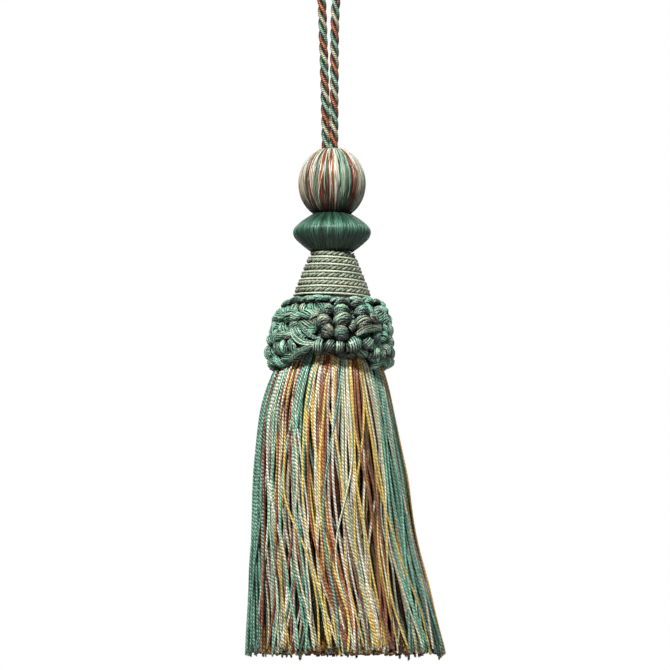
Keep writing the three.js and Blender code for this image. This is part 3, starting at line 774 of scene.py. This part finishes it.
def stitchRow(row):
    # plump stitches leaning across the row: yarns lie on a spindle, turning by `twist` from its middle to
    # its end, and the spindle's ends bend back by bend * t^2
    r = ruff
    down, count, lean, share, raised = r["rows"][row]
    rng = np.random.default_rng(r["seed"] + row)
    draw = lambda low, high: rng.uniform(low, high, count)
    angle = tau * (np.arange(count) + 0.5 * (row % 2) + draw(-r["jitter"], r["jitter"])) / count
    down = archedDown(angle, down + share * draw(-r["downJitter"], r["downJitter"]))
    place, normal = ruffPoint(angle, down, 0)
    inside = inField(place)
    size = share * draw(*r["sizes"])
    radius = r["radius"] * size
    lift = -radius * r["squash"] * r["sunk"] + raised + share * draw(*r["lifts"])
    place = place + normal * (lift - r["field"]["sunk"] * inside)[:, None]
    tilt = np.radians(lean + rng.normal(0, r["leanSpread"], count))[:, None]
    _, _, axis, cross = leaningAxes(normal, tilt)
    t = np.linspace(-1, 1, r["steps"])
    half = r["half"] * (r["topStretch"] if row == 0 else 1)
    middle = (place[:, None] + axis[:, None] * (half * size[:, None] * t)[..., None]
              - normal[:, None] * (r["bend"] * size[:, None] * t**2)[..., None])
    yarns = (count, r["yarns"])
    first = np.linspace(-r["wrap"], math.pi + r["wrap"], r["yarns"]) + rng.normal(0, r["wrapSpread"], yarns)
    phi = first[:, :, None] + (r["twist"] * draw(*r["twists"]))[:, None, None] * t
    reach = (radius[:, None] * spindle(t))[:, None, :] * (1 + rng.normal(0, r["reachSpread"], (*yarns, 1)))
    ring = (np.cos(phi)[..., None] * cross[:, None, None]
            + r["squash"] * np.sin(phi)[..., None] * normal[:, None, None])
    paths = (middle[:, None] + ring * reach[..., None]).reshape(-1, r["steps"], 3)
    names = picked(rng, r["dyes"], count)
    others = picked(rng, r["dyes"], len(paths))
    own = np.repeat(shades(names, rng, r["spread"]), r["yarns"], axis=0)
    tone = np.minimum(r["light"] * (0.5 * own + 0.5 * shades(others, rng, r["spread"])), lightest)
    # painted shade: flanks and ends of a stitch lie deeper, so they are painted darker, and so are the
    # stitches in the front's oval
    shade = r["flank"] + (1 - r["flank"]) * np.clip(np.sin(phi), 0, 1) ** r["flankPower"]
    shade = shade * (1 - r["endShade"] * t**4) * (1 - r["fieldShade"] * inside)[:, None, None]
    tone = tone[:, None] * shade.reshape(-1, r["steps"], 1)
    width = r["yarnRadius"] * rng.uniform(*r["widths"], (len(paths), 1)) * (1 - r["thinEnds"] * t**4)
    outward = unit(ring).reshape(-1, r["steps"], 3)
    shell = tubes(paths, outward, width, r["sides"], tone, startAt=anyStart(rng, len(paths)))
    inner = slice(1, -1, 2)
    fill = (radius[:, None] * spindle(t) * fillShare)[:, inner]
    return [shell, filling(middle[:, inner], normal[:, None], fill, r["squash"])]


def ruffCore():
    # a dark form in the shadow dye inside the outline, standing in for the shade under the stitches, closed
    # towards the tassel's middle at its top and bottom
    core = ruff["core"]
    down = np.linspace(core["top"], core["bottom"], core["rings"])
    heights = ruffTop - down
    hole = [core["hole"]]
    return turnedForm(np.concatenate([hole, ruffRadius(down) - core["inside"], hole]),
                      np.concatenate([heights[:1], heights, heights[-1:]]), core["sides"], dyed["shadow"],
                      centreX=np.concatenate([[0], ruff["lean"] * down / ruffDepth, [ruff["lean"]]]))


def litFrom(make, outward, direction):
    # painted light and shade: yarns that face away from the direction are darker, least + (1 - least) * ((1 +
    # facing) / 2) ^ falloff
    facing = outward @ unit(direction)
    return make["least"] + (1 - make["least"]) * (0.5 + 0.5 * facing) ** make["falloff"]


# Arched bobbles on the front, whose yarns run lengthwise: x, depth, half length, radius, lean of the axis in
# degrees (0 lies across), how far it stands out, and the dyes of its yarns from the top down.
bobbles = [
    (3.0, 2.1, 2.5, 1.05, 6, 0.9, ["lichen", "greySage", "fern", "fern", "moss"]),
    (7.6, 2.4, 2.3, 1.05, -8, 0.9, ["teal", "greySage", "moss", "moss", "pine"]),
    (-1.3, 4.5, 2.1, 1.35, 25, 1.2, ["mint", "teal", "lichen", "fern", "fern", "moss"]),
    (2.6, 4.6, 2.5, 1.45, 18, 1.4, ["teal", "mint", "teal", "fern", "moss", "moss"]),
    (8.8, 4.5, 2.5, 1.45, 8, 1.3, ["teal", "teal", "fern", "lichen", "fern", "pine"]),
    (12.2, 6.6, 2.1, 1.5, -30, 0.9, ["greySage", "teal", "fern", "greySage", "moss", "moss"]),
    (-2.5, 7.8, 2.3, 1.75, 26, 1.6, ["sage", "mint", "greySage", "sage", "lichen", "moss", "moss", "pine"]),
    (2.9, 7.3, 3.0, 2.0, 32, 1.9,
     ["taupe", "taupe", "teal", "mint", "teal", "lichen", "moss", "moss", "pine"]),
    (8.9, 8.1, 3.0, 2.0, 28, 1.9,
     ["sage", "greySage", "teal", "sage", "fern", "taupe", "moss", "moss", "pine"]),
    (-1.2, 11.0, 1.95, 1.85, -8, 2.0, ["taupe", "taupe", "sage", "moss", "sage", "fern", "moss", "pine"]),
    (2.6, 11.4, 2.3, 1.85, 6, 2.2, ["taupe", "blush", "moss", "teal", "teal", "fern", "moss", "pine"]),
]
bobbleMake = dict(
    yarnRadius=0.33, spacing=0.6, steps=22, sides=7, squash=0.85, bend=0.5, sag=0.22, wrap=0.6, twist=0.5,
    jitter=0.06, wobble=(0.1, 4), swell=(0.07, 3), widths=(0.85, 1.1), thinEnds=0.35, seed=650,
    # painted light: the share that even the side turned away keeps, the falloff, and where it comes from
    endShade=0.5, spread=0.16, blend=0.45, light=1.3, least=0.03, falloff=3.4, litUp=0.8, litRight=-0.3,
)


def bobbleShells():
    # yarns lie side by side on a spindle of half length L, whose ends bend back by bend * L t^2 and hang by
    # sag * L t^2; their angle round it runs from the top down and turns by twist * t
    k = bobbleMake
    shells = []
    for index, (x, down, half, radius, lean, out, dyeRuns) in enumerate(bobbles):
        rng = np.random.default_rng(k["seed"] + index)
        ripple = lambda size, pace: size * np.sin(pace * t + rng.uniform(0, tau, (n, 1)))
        centre, normal = ruffPoint(frontAngle(x, down), down, out - radius * k["squash"])
        right, up, axis, cross = leaningAxes(normal, math.radians(lean))
        n = int(radius * (math.pi + 2 * k["wrap"]) / k["spacing"])
        names = [dyeRuns[i * len(dyeRuns) // n] for i in range(n)]
        t = np.linspace(-1, 1, k["steps"])
        middle = (centre + axis * (half * t)[:, None] - normal * (k["bend"] * half * t**2)[:, None]
                  - cross * (k["sag"] * half * t**2)[:, None])
        phi = np.linspace(-k["wrap"], math.pi + k["wrap"], n)[:, None] + rng.normal(0, k["jitter"], (n, 1))
        phi = phi + k["twist"] * t + ripple(*k["wobble"])
        ring = np.cos(phi)[..., None] * cross + k["squash"] * np.sin(phi)[..., None] * normal
        reach = radius * spindle(t) * (1 + ripple(*k["swell"]))
        paths, outward = middle + ring * reach[..., None], unit(ring)
        # painted light from above and to the left, painted shade on the side turned away and at the ends
        shade = litFrom(k, outward, normal + k["litUp"] * up + k["litRight"] * right)
        own = shades(names, rng, k["spread"])
        own = own + k["blend"] * (own.mean(axis=0) - own)
        tone = k["light"] * own[:, None] * (shade * (1 - k["endShade"] * t**4))[..., None]
        width = k["yarnRadius"] * rng.uniform(*k["widths"], (n, 1)) * (1 - k["thinEnds"] * t**4)
        shells.append(tubes(paths, outward, width, k["sides"], tone, startAt=anyStart(rng, n)))
        inner = slice(1, -1, 2)
        fill = (radius * spindle(t) * fillShare)[None, inner]
        shells.append(filling(middle[None, inner], normal, fill, k["squash"]))
    return shells


# Coiled knots under the bobbles: x, depth, half length, radius, lean of the axis in degrees (0 lies across,
# so the ribs stand upright), turns of yarn, first and last dye, and how far it stands out.
frontKnots = [
    (5.9, 9.3, 1.8, 1.2, 60, 5, "greySage", "moss", 1.0),
    (-3.8, 15.2, 1.9, 2.1, 5, 4, "mint", "fern", 1.5),
    (-0.8, 15.0, 1.6, 1.9, -20, 4, "lichen", "moss", 1.5),
    (2.1, 15.4, 1.7, 1.8, 10, 4, "mint", "moss", 1.4),
    (6.3, 14.8, 2.8, 2.3, 25, 6, "mint", "fern", 1.9),
    (9.9, 14.0, 2.0, 2.1, -35, 5, "fern", "mint", 1.7),
    (12.5, 12.0, 1.9, 1.9, 10, 5, "fern", "moss", 1.2),
    (12.4, 16.8, 2.1, 1.8, 5, 5, "mint", "fern", 1.1),
    (14.4, 16.9, 1.7, 1.7, -10, 4, "fern", "greySage", 0.9),
]
knotMake = dict(
    size=0.94, yarnRadius=0.26, finer=1.22, stepsPerTurn=14, sides=6, squash=0.85, bend=0.32, ends=0.985,
    skew=0.25, swell=(0.05, 5), seed=600,
    # the mix of the two dyes: at the middle, its growth along the knot, and its swing from turn to turn;
    # least, falloff, litUp and endTurn set the painted light from above and painted shade on the side turned
    # away
    mix=(0.5, 0.55, 0.25), light=1.45, uneven=(0.16, 2.3), least=0.03, falloff=3.4, litUp=0.75, endTurn=0.9,
    fillRings=9, fillEnds=0.96, fillSides=10,
)


def knotShells():
    # yarn coiled on a barrel of half length L, turning n times from its one end to its other; the barrel's
    # ends bend back by bend * L t^2, and the coils lean along it by skew * sin(angle)
    k = knotMake
    shells = []
    for index, (x, down, half, radius, lean, turns, first, last, out) in enumerate(frontKnots):
        rng = np.random.default_rng(k["seed"] + index)
        ripple = lambda size, angle: size * np.sin(angle + rng.uniform(0, tau))
        half, radius, turns = half * k["size"], radius * k["size"], turns * k["finer"]
        centre, normal = ruffPoint(frontAngle(x, down), down, out - radius * k["squash"])
        _, up, axis, cross = leaningAxes(normal, math.radians(lean))
        spine = lambda t: centre + axis * (half * t)[:, None] - normal * (k["bend"] * half * t**2)[:, None]
        t = np.linspace(-k["ends"], k["ends"], int(turns * k["stepsPerTurn"]))
        theta = tau * turns * t / 2 + rng.uniform(0, tau)
        reach = radius * barrel(t) * (1 + ripple(k["swell"][0], k["swell"][1] * t))
        away = (axis * (k["skew"] * np.sin(theta))[:, None]
                + normal * (reach * k["squash"] * np.cos(theta))[:, None]
                + cross * (reach * np.sin(theta))[:, None])
        line, outward = spine(t) + away, unit(away + axis * 1e-3)
        middle, growth, swing = k["mix"]
        mix = np.clip(middle + growth * t + ripple(swing, theta / 2), 0, 1)[:, None]
        tone = k["light"] * (dyed[first] * (1 - mix) + dyed[last] * mix)
        tone = tone * np.exp(ripple(k["uneven"][0], theta / tau * k["uneven"][1]))[:, None]
        # painted light from above, painted shade on the side turned away
        facing = unit(outward + axis * (k["endTurn"] * t**3)[:, None])
        tone = tone * litFrom(k, facing, normal + k["litUp"] * up)[:, None]
        shells.append(tubes(line[None], outward[None], k["yarnRadius"], k["sides"], tone[None],
                            startAt=anyStart(rng, 1)))
        rings = np.linspace(-k["fillEnds"], k["fillEnds"], k["fillRings"])
        body = radius * barrel(rings) * fillShare
        shells.append(filling(spine(rings)[None], normal, body[None], k["squash"], k["fillSides"]))
    return shells


# Loose cords swept over the ruff: points as x, depth and lift, the spacing of the yarns that lie side by
# side, each yarn's dye, and their radius.
sweeps = [
    dict(points=[(-11.6, 9.6, 0.0), (-10.4, 12.0, 0.7), (-8.0, 13.9, 1.0), (-5.0, 14.4, 0.5)],
         spread=0.5, dye=["mint", "fern", "mint", "moss"], radius=0.27),
    dict(points=[(-9.4, 8.0, 0.2), (-8.0, 10.2, 0.9), (-6.0, 12.0, 0.9), (-4.4, 12.9, 0.4)],
         spread=0.48, dye=["fern", "moss", "lichen"], radius=0.26),
    dict(points=[(6.4, 12.0, 1.4), (8.6, 10.7, 1.9), (11.2, 9.9, 1.6), (13.4, 9.4, 0.6)],
         spread=0.5, dye=["moss", "greySage", "fern", "bark"], radius=0.3),
    dict(points=[(-12.2, 18.9, 0.2), (-9.9, 17.2, 0.8), (-6.6, 15.4, 0.9), (-4.8, 14.6, 0.5)],
         spread=0.5, dye=["moss", "lichen", "greySage"], radius=0.3),
]
sweepMake = dict(steps=36, sides=6, least=0.55, dip=0.12, dipLength=7, aside=0.6, spread=0.12, seed=700)


def sweepShells():
    # yarns beside a line on the ruff: line + side * (shift * squeeze + aside * dip) + out * dip, where the
    # squeeze draws them together at both ends and the dip is a slow wave
    k = sweepMake
    shells = []
    for index, sweep in enumerate(sweeps):
        rng = np.random.default_rng(k["seed"] + index)
        x, down, lift = smoothCurve(sweep["points"], k["steps"]).T
        place, normal = ruffPoint(frontAngle(x, down), down, lift)
        side, out = crossFrames(place[None], normal[None])
        n = len(sweep["dye"])
        shift = (np.arange(n) - (n - 1) / 2)[:, None] * sweep["spread"]
        squeeze = k["least"] + (1 - k["least"]) * np.sin(math.pi * np.linspace(0, 1, k["steps"]))
        dip = k["dip"] * np.sin(np.linspace(0, k["dipLength"], k["steps"]) + rng.uniform(0, tau, (n, 1)))
        paths = place + side * (shift * squeeze + dip * k["aside"])[..., None] + out * dip[..., None]
        tone = shades(sweep["dye"], rng, k["spread"])
        shells.append(tubes(paths, normal, sweep["radius"], k["sides"], tone, startAt=anyStart(rng, n)))
    return shells


def buildRuff():
    # the rows of stitches in two pieces, and all that lies on the front in a third
    material = yarnMaterial("ruff cord", ruff["look"])
    rows = [stitchRow(row) for row in range(len(ruff["rows"]))]
    upper, lower = (sum(part, []) for part in (rows[:ruff["upperRows"]], rows[ruff["upperRows"]:]))
    front = bobbleShells() + knotShells() + sweepShells()
    for name, shells in (("ruffUpper", upper + [ruffCore()]), ("ruffLower", lower), ("ruffKnots", front)):
        makePiece(name, shells, material, "ruff")


buildRuff()

# The skirt of cut yarns, in three hanging layers round a core of cut ends.
skirt = dict(
    # outer form: height, radius and sideways place of its middle, as in the CAD
    stations=[(-133.4, 12.2, -0.8), (-136.6, 13.6, -0.8), (-138.9, 15.0, -0.9), (-141.6, 16.3, -1.2),
              (-145.5, 17.6, -1.4), (-152.6, 19.4, -1.5), (-168.9, 21.7, -0.7), (-194.0, 24.4, 0.9),
              (-221.5, 28.5, 3.9)],
    radius=0.355, sides=6, steps=32, stationSteps=80, starts=60, seed=81,
    sizes=(0.82, 1.16), sizeWave=(0.07, 14, 40),      # the wave's size, least and most radians down a yarn
    light=1.36, lightest=0.84, spread=0.18, toneWave=(0.1, 8, 22),
    deeper=0.58, deepest=2, deepPower=0.7,            # painted shade: a yarn this deep is darker by that share
    endLight=0.3, endPart=25,                         # painted light: the last 1/25 of a yarn, at its cut end, grows lighter
    # yarns of the front from left to right: dye and degrees round the top of the skirt
    front=[("teal", 32), ("rust", 3), ("teal", 6), ("gold", 3), ("teal", 2), ("sage", 5), ("mint", 3),
           ("straw", 5), ("gold", 3), ("rust", 6), ("straw", 3), ("cream", 2), ("teal", 10), ("gold", 4),
           ("straw", 3), ("cream", 2), ("rust", 6), ("copper", 2), ("blush", 3), ("copper", 3), ("rust", 2),
           ("straw", 3), ("sage", 6), ("cream", 2), ("teal", 2), ("gold", 5), ("rust", 4), ("brown", 2),
           ("gold", 5), ("straw", 3), ("rust", 3), ("straw", 3), ("sage", 3), ("teal", 17), ("blush", 2),
           ("teal", 9), ("gold", 2), ("teal", 17)],
    others=["teal", "cream", "gold", "rust", "sage", "straw", "mint", "gold", "blush", "gold",
            "cream", "deepTeal", "sage", "gold", "copper", "straw", "blush"],
    inner=["rust", "oldGold", "moss", "rust", "brown", "oldGold", "brown", "pine", "moss", "copper"],
    cut=["oldGold", "bark", "brown", "bark", "moss", "brown", "bark", "umber"],
    backRun=(2, 9),
    # the two outer layers: seed, yarns, how far a yarn may stand from its place in pitches, share of
    # strangers, the dye whose runs stay whole, least and most depth, reach of the shared flow, and darkness,
    # a painted shade on the deeper layer
    outer=[(82, 215, 0.45, 0.12, "teal", (0, 0.9), 0.06, 1.0),
           (83, 205, 0.8, 0.26, None, (0.5, 2.2), 0.07, 0.8)],
    # the third layer: its dark factor is painted shade among the outer layers
    third=dict(seed=84, yarns=230, jitter=0.8, depth=(1.8, 3.8),
               hang=dict(reach=0.04, longer=-1.2, dark=0.54, steps=26)),
    # the core of cut ends: its dark factor above 1 is painted light on the cut ends that face down
    core=dict(seed=85, yarns=620, reach=0.88, depth=0.3,
              hang=dict(radius=0.58, longer=0.5, cross=0, stray=0.02, steps=12, ragged=0.5, dark=1.7,
                        frayed=False)),
    loose=dict(seed=86, angle=-0.06, dye="oldGold", depth=-0.6, hang=dict(cross=0, stray=0, reach=0.01)),
    # sideways bow of the front's yarns: angle from the middle of the front and reach, in radians
    sway=[(-3.2, 0), (-1.5, 0), (-0.5, -0.07), (-0.3, -0.1), (-0.05, -0.03), (0.2, -0.06), (0.5, 0),
          (1.5, 0), (3.2, 0)],
    swayPace=1.15,                        # the sway is over at 1/1.15 of the length
    flow=[(3, 4, 1.0), (5, 6, 0.8), (8, 9, 0.7), (12, 11, 0.5), (17, 13, 0.35)],   # count, slope and size
    flowSlopes=(0.4, 1), firstFlow=0.45,  # share drawn of each slope, share of yarns in the first flow
    # locks: their number, how tightly they gather, waves that shift them round, and their meander down
    locks=31, gather=0.95, gatherPower=0.8, lockWaves=[(1.3, 3, 0.5), (0.9, 5, 2.1)], meander=(1.6, 3.2, 2),
    bow=0.03, bowSizes=(0, 1.6),
    bows=[(1.0, 0.6, 1.6, 0.6), (0.35, 2.0, 4.6, 0.5)],    # share, fewest and most waves, growth
    # a crossing yarn's spread of drift, where a drift starts, over what share of the length, and its lift
    crossing=0.22, driftStart=(-0.3, 0.55), driftSpan=(0.3, 0.75), crossLift=0.6,
    bob=(0.28, 1.0, 3.0),                 # how far each yarn bobs in and out, fewest and most waves
    rootDepth=0.35,                       # share of its depth that a yarn has at its root
    ragged=0.85, cutSpread=0.8, cutMost=2, tufts=[(0.6, 11, 0.7), (0.5, 27, 2.0)],
    # fibres at a cut end: their spread of lean, its upright share, least and most length, how far from the
    # yarn's middle they start, and for the three points of each how far along they lie and how thick they
    # are; the start and the thickness are shares of the yarn's radius
    fray=dict(fibres=3, sides=3, splay=0.3, upright=0.3, lengths=(0.05, 0.3), share=0.9,
              points=(-0.8, 0.35, 1.0), widths=(0.6, 0.6, 0.5), light=1.2),
    # the bound heading: radii, heights above the skirt's top, and sideways place
    heading=dict(radii=[11.4, 12.3, 12.3, 11.4], heights=[2, 1.6, -2.0, -2.4], x=-0.8, sides=60),
    look=dict(plies=2, turn=2.1, groove=0.7, crown=2.2, bump=0.36, uneven=0.15, filaments=6, length=2.2,
              lay=0.42, fibreBump=0.03, gloss=0.7, sheen=0.08, hollow=0.9, edge=1.6, deep=1.1, coat=0.25),
    deepLook=dict(plies=2, turn=2.1, groove=0.8, bump=0.2, uneven=0.15, filaments=6, length=2.2,
                  lay=0.42, fibreBump=0.03, rough=0.5, gloss=0.12, hollow=0.8, edge=1.4, deep=1.0),
)


def skirtForm(z):
    # radius and sideways place of the outer form at these heights, on a smooth curve through its stations
    fine = smoothCurve(np.array(skirt["stations"]) * np.array([-1, 1, 1]), skirt["stationSteps"])
    return [np.interp(-z, fine[:, 0], fine[:, k]) for k in (1, 2)]


def flow(rng, a, t, reach):
    # sideways drift that neighbouring yarns share: a sum of seeded waves in the angle and down the skirt
    total = np.zeros(np.broadcast_shapes(a.shape, t.shape))
    for count, slope, size in skirt["flow"]:
        lean = rng.uniform(*skirt["flowSlopes"]) * slope * rng.choice([-1, 1])
        total += size * np.sin(count * a + lean * t + rng.uniform(0, tau))
    return reach * total * t**0.5


def hangingTurn(rng, a, t, cross, stray, reach):
    # angle(t) = root angle + sway of the front + flow of its layer + gathering into locks + its own bows +
    # drift, smoothly from where it starts. The share `cross` of the yarns leaves its place and drifts far.
    s = skirt
    n = len(a)
    draw = lambda low, high: rng.uniform(low, high, (n, 1))
    swayed = tableAt(s["sway"], fromFront(a)) * np.sin(math.pi * np.clip(t * s["swayPace"], 0, 1))
    first = draw(0, 1) < s["firstFlow"]
    sway = swayed + np.where(first, flow(rng, a, t, reach), flow(rng, a, t, reach))
    size, pace, count = s["meander"]
    phase = s["locks"] * a + waves(a, s["lockWaves"]) + size * np.sin(pace * t + count * a)
    gather = -s["gather"] / s["locks"] * np.sin(phase) * np.sin(math.pi * t ** s["gatherPower"])
    bows = sum(share * s["bow"] * draw(*s["bowSizes"]) * wave(rng, n, t, fewest, most) * t**growth
               for share, fewest, most, growth in s["bows"])
    leaves = draw(0, 1) < cross
    drift = np.where(leaves, rng.normal(0, s["crossing"], (n, 1)), rng.normal(0, stray, (n, 1)))
    ramp = np.clip((t - draw(*s["driftStart"])) / draw(*s["driftSpan"]), 0, 1)
    return a + sway + gather + bows + drift * ramp**2 * (3 - 2 * ramp), leaves


def frayedEnds(rng, tips, tone, radius):
    # a few fine fibres splay from each cut, straight down plus a random lean
    fray = skirt["fray"]
    tips, tone = (np.repeat(v, fray["fibres"], axis=0) for v in (tips, tone))
    m = len(tips)
    splay = rng.normal(0, fray["splay"], (m, 3)) * np.array([1, 1, fray["upright"]]) - upward
    reach = rng.uniform(*fray["lengths"], (m, 1, 1)) * np.array(fray["points"])[:, None]
    start = tips[:, None] + splay[:, None] * np.array([1, 1, 0]) * radius * fray["share"]
    return tubes(start + splay[:, None] * reach, frontward, radius * np.array(fray["widths"]), fray["sides"],
                 tone * fray["light"])


def hangingYarns(seed, angles, names, depth, share=1.0, radius=skirt["radius"], steps=skirt["steps"],
                 longer=0.0, cross=0.38, stray=0.05, reach=0.06, dark=1.0, ragged=1.0, frayed=True):
    # yarn i hangs at angle(t) and at radius(t) = form radius * share - depth - its own radius, from the
    # heading to its own cut length, which tufts and a seeded draw make ragged
    s = skirt
    rng = np.random.default_rng(seed)
    n = len(angles)
    share, depth = (np.broadcast_to(np.asarray(v, float), (n,))[:, None] for v in (share, depth))
    t = np.linspace(0, 1, steps)[None]
    a = np.asarray(angles)[:, None]
    draw = lambda low, high: rng.uniform(low, high, (n, 1))
    ripple = lambda size, least, most: size * np.sin(draw(least, most) * t + draw(0, tau))
    top, bottom = s["stations"][0][0], s["stations"][-1][0]
    own = np.clip(rng.normal(0, s["cutSpread"], (n, 1)), -s["cutMost"], s["cutMost"])
    cut = bottom - longer + s["ragged"] * ragged * (waves(a, s["tufts"]) + own)
    z = top + (cut - top) * t
    form, middle = skirtForm(np.maximum(z, bottom))
    turn, leaves = hangingTurn(rng, a, t, cross, stray, reach)
    bob, fewest, most = s["bob"]
    lift = leaves * s["crossLift"] * t + bob * wave(rng, n, t, fewest, most) * t**0.5
    r = form * share - depth * (s["rootDepth"] + (1 - s["rootDepth"]) * t) - radius + lift
    paths = np.stack([middle + r * np.cos(turn), r * np.sin(turn), z], axis=-1)
    outward = np.stack([np.cos(turn), np.sin(turn), np.zeros_like(turn)], axis=-1)
    # painted shade: yarns lying deeper and in darker layers get darker tones
    deeper = 1 - s["deeper"] * np.clip(depth / s["deepest"], 0, 1) ** s["deepPower"]
    tone = shades(names, rng, s["spread"]) * s["light"] * dark * deeper
    tone = (tone * np.minimum(1, s["lightest"] / tone.max(axis=1, keepdims=True)))[:, None]
    # painted light: the cut end of a yarn grows lighter
    nearCut = np.clip(t * s["endPart"] - (s["endPart"] - 1), 0, 1)
    tone = tone * np.exp(ripple(*s["toneWave"]) + s["endLight"] * nearCut)[..., None]
    size = radius * draw(*s["sizes"]) * (1 + ripple(*s["sizeWave"]))
    yarns = [tubes(paths, outward, size, s["sides"], tone, startAt=anyStart(rng, n, s["starts"]))]
    return yarns + [frayedEnds(rng, paths[:, -1], tone[:, -1], radius)] if frayed else yarns


def buildSkirt():
    # two layers that follow the front's runs, one loose yarn, a dark third layer, and the core: cut ends on
    # a sunflower spiral, share = reach * sqrt(i / n), angle = i * golden angle
    s = skirt
    third, core, loose, heading = s["third"], s["core"], s["loose"], s["heading"]
    rng = np.random.default_rng(s["seed"])
    outer = []
    for seed, count, jitter, strangers, whole, depth, reach, dark in s["outer"]:
        angles, names = runsOfYarn(s["front"], s["others"], count, rng, backRun=s["backRun"])
        angles = angles + tau / count * rng.uniform(-jitter, jitter, count)
        names = mixedIn(rng, names, s["others"], strangers, whole)
        outer.append(hangingYarns(seed, angles, names, rng.uniform(*depth, count), reach=reach, dark=dark))
    single = hangingYarns(loose["seed"], [loose["angle"]], [loose["dye"]], loose["depth"], **loose["hang"])
    material = yarnMaterial("skirt yarn", s["look"])
    makePiece("skirtOuter", outer[0] + single + outer[1], material, "skirt")
    count = third["yarns"]
    angles = tau * (np.arange(count) + rng.uniform(-third["jitter"], third["jitter"], count)) / count
    inner = hangingYarns(third["seed"], angles, picked(rng, s["inner"], count),
                         rng.uniform(*third["depth"], count), **third["hang"])
    dull = yarnMaterial("deep skirt yarn", s["deepLook"])
    makePiece("skirtMiddle", inner, dull, "skirt")
    count = core["yarns"]
    order = np.arange(count) + 0.5
    goldenAngle = math.pi * (3 - math.sqrt(5))
    ends = hangingYarns(core["seed"], order * goldenAngle, picked(rng, s["cut"], count), core["depth"],
                        share=np.sqrt(order / count) * core["reach"], **core["hang"])
    form = turnedForm(heading["radii"], skirtTop + np.array(heading["heights"]), heading["sides"],
                      dyed["umber"], centreX=heading["x"])
    makePiece("skirtCore", ends + [form], dull, "skirt")


buildSkirt()

# The floor, the room and the lights.
stage = dict(
    floor=-1300, size=24000, pale=0.78, rough=0.8, room=0.045, aim=(0, 0, -130),
    # place and width of each soft light, and its power in watts
    lights=dict(key=((-340, -900, 800), 220, 32), fill=((900, -1100, -100), 500, 4.6),
                rim=((100, 1300, 300), 1600, 15), bounce=((-200, -700, -900), 700, 1.3)),
)


def seenAs(tree, add, lit, seen, output):
    # the camera sees the second shader, and the first one gives the light that falls on the tassel
    path = add("ShaderNodeLightPath")
    mix = add("ShaderNodeMixShader", {0: path.outputs["Is Camera Ray"], 1: lit, 2: seen})
    setInputs(tree, tree.nodes[output], {0: mix.outputs[0]})


def buildFloor():
    # one large square; it lies far below the lights, so the camera sees it evenly lit
    half, low = stage["size"] / 2 * mm, stage["floor"] * mm
    mesh = bpy.data.meshes.new("floor")
    mesh.from_pydata([(-half, -half, low), (half, -half, low), (half, half, low), (-half, half, low)],
                     [], [(0, 1, 2, 3)])
    floor = bpy.data.objects.new("floor", mesh)
    bpy.context.collection.objects.link(floor)
    material = bpy.data.materials.new("floor")
    material.use_nodes = True
    tree = material.node_tree
    add, _ = nodeTools(tree)
    shader = tree.nodes["Principled BSDF"]
    pale = (stage["pale"],) * 3 + (1,)
    setInputs(tree, shader, {"Base Color": pale, "Roughness": stage["rough"]})
    even = add("ShaderNodeEmission", {"Color": pale, "Strength": 1.0})
    seenAs(tree, add, shader.outputs[0], even.outputs[0], "Material Output")
    mesh.materials.append(material)


def buildRoom():
    # a dim white room, seen as plain white
    world = bpy.data.worlds.new("room")
    world.use_nodes = True
    bpy.context.scene.world = world
    tree = world.node_tree
    add, _ = nodeTools(tree)
    dim = tree.nodes["Background"]
    setInputs(tree, dim, {"Strength": stage["room"], "Color": (1, 1, 1, 1)})
    white = add("ShaderNodeBackground", {"Color": (1, 1, 1, 1), "Strength": 1.0})
    seenAs(tree, add, dim.outputs[0], white.outputs[0], "World Output")


def buildLights():
    # square lights turned towards the tassel: tilt = 90 degrees + rise, turn = bearing - 90 degrees
    for name, (spot, size, power) in stage["lights"].items():
        data = bpy.data.lights.new(name, "AREA")
        data.size, data.energy = size * mm, power
        light = bpy.data.objects.new(name, data)
        light.location = np.array(spot) * mm
        x, y, z = np.array(stage["aim"]) - np.array(spot)
        rise, bearing = math.atan2(z, math.hypot(x, y)), math.atan2(y, x)
        light.rotation_euler = (math.pi / 2 + rise, 0, bearing - math.pi / 2)
        bpy.context.collection.objects.link(light)


buildFloor()
buildRoom()
buildLights()
bpy.context.scene.view_settings.view_transform = "Standard"
print("stage done")
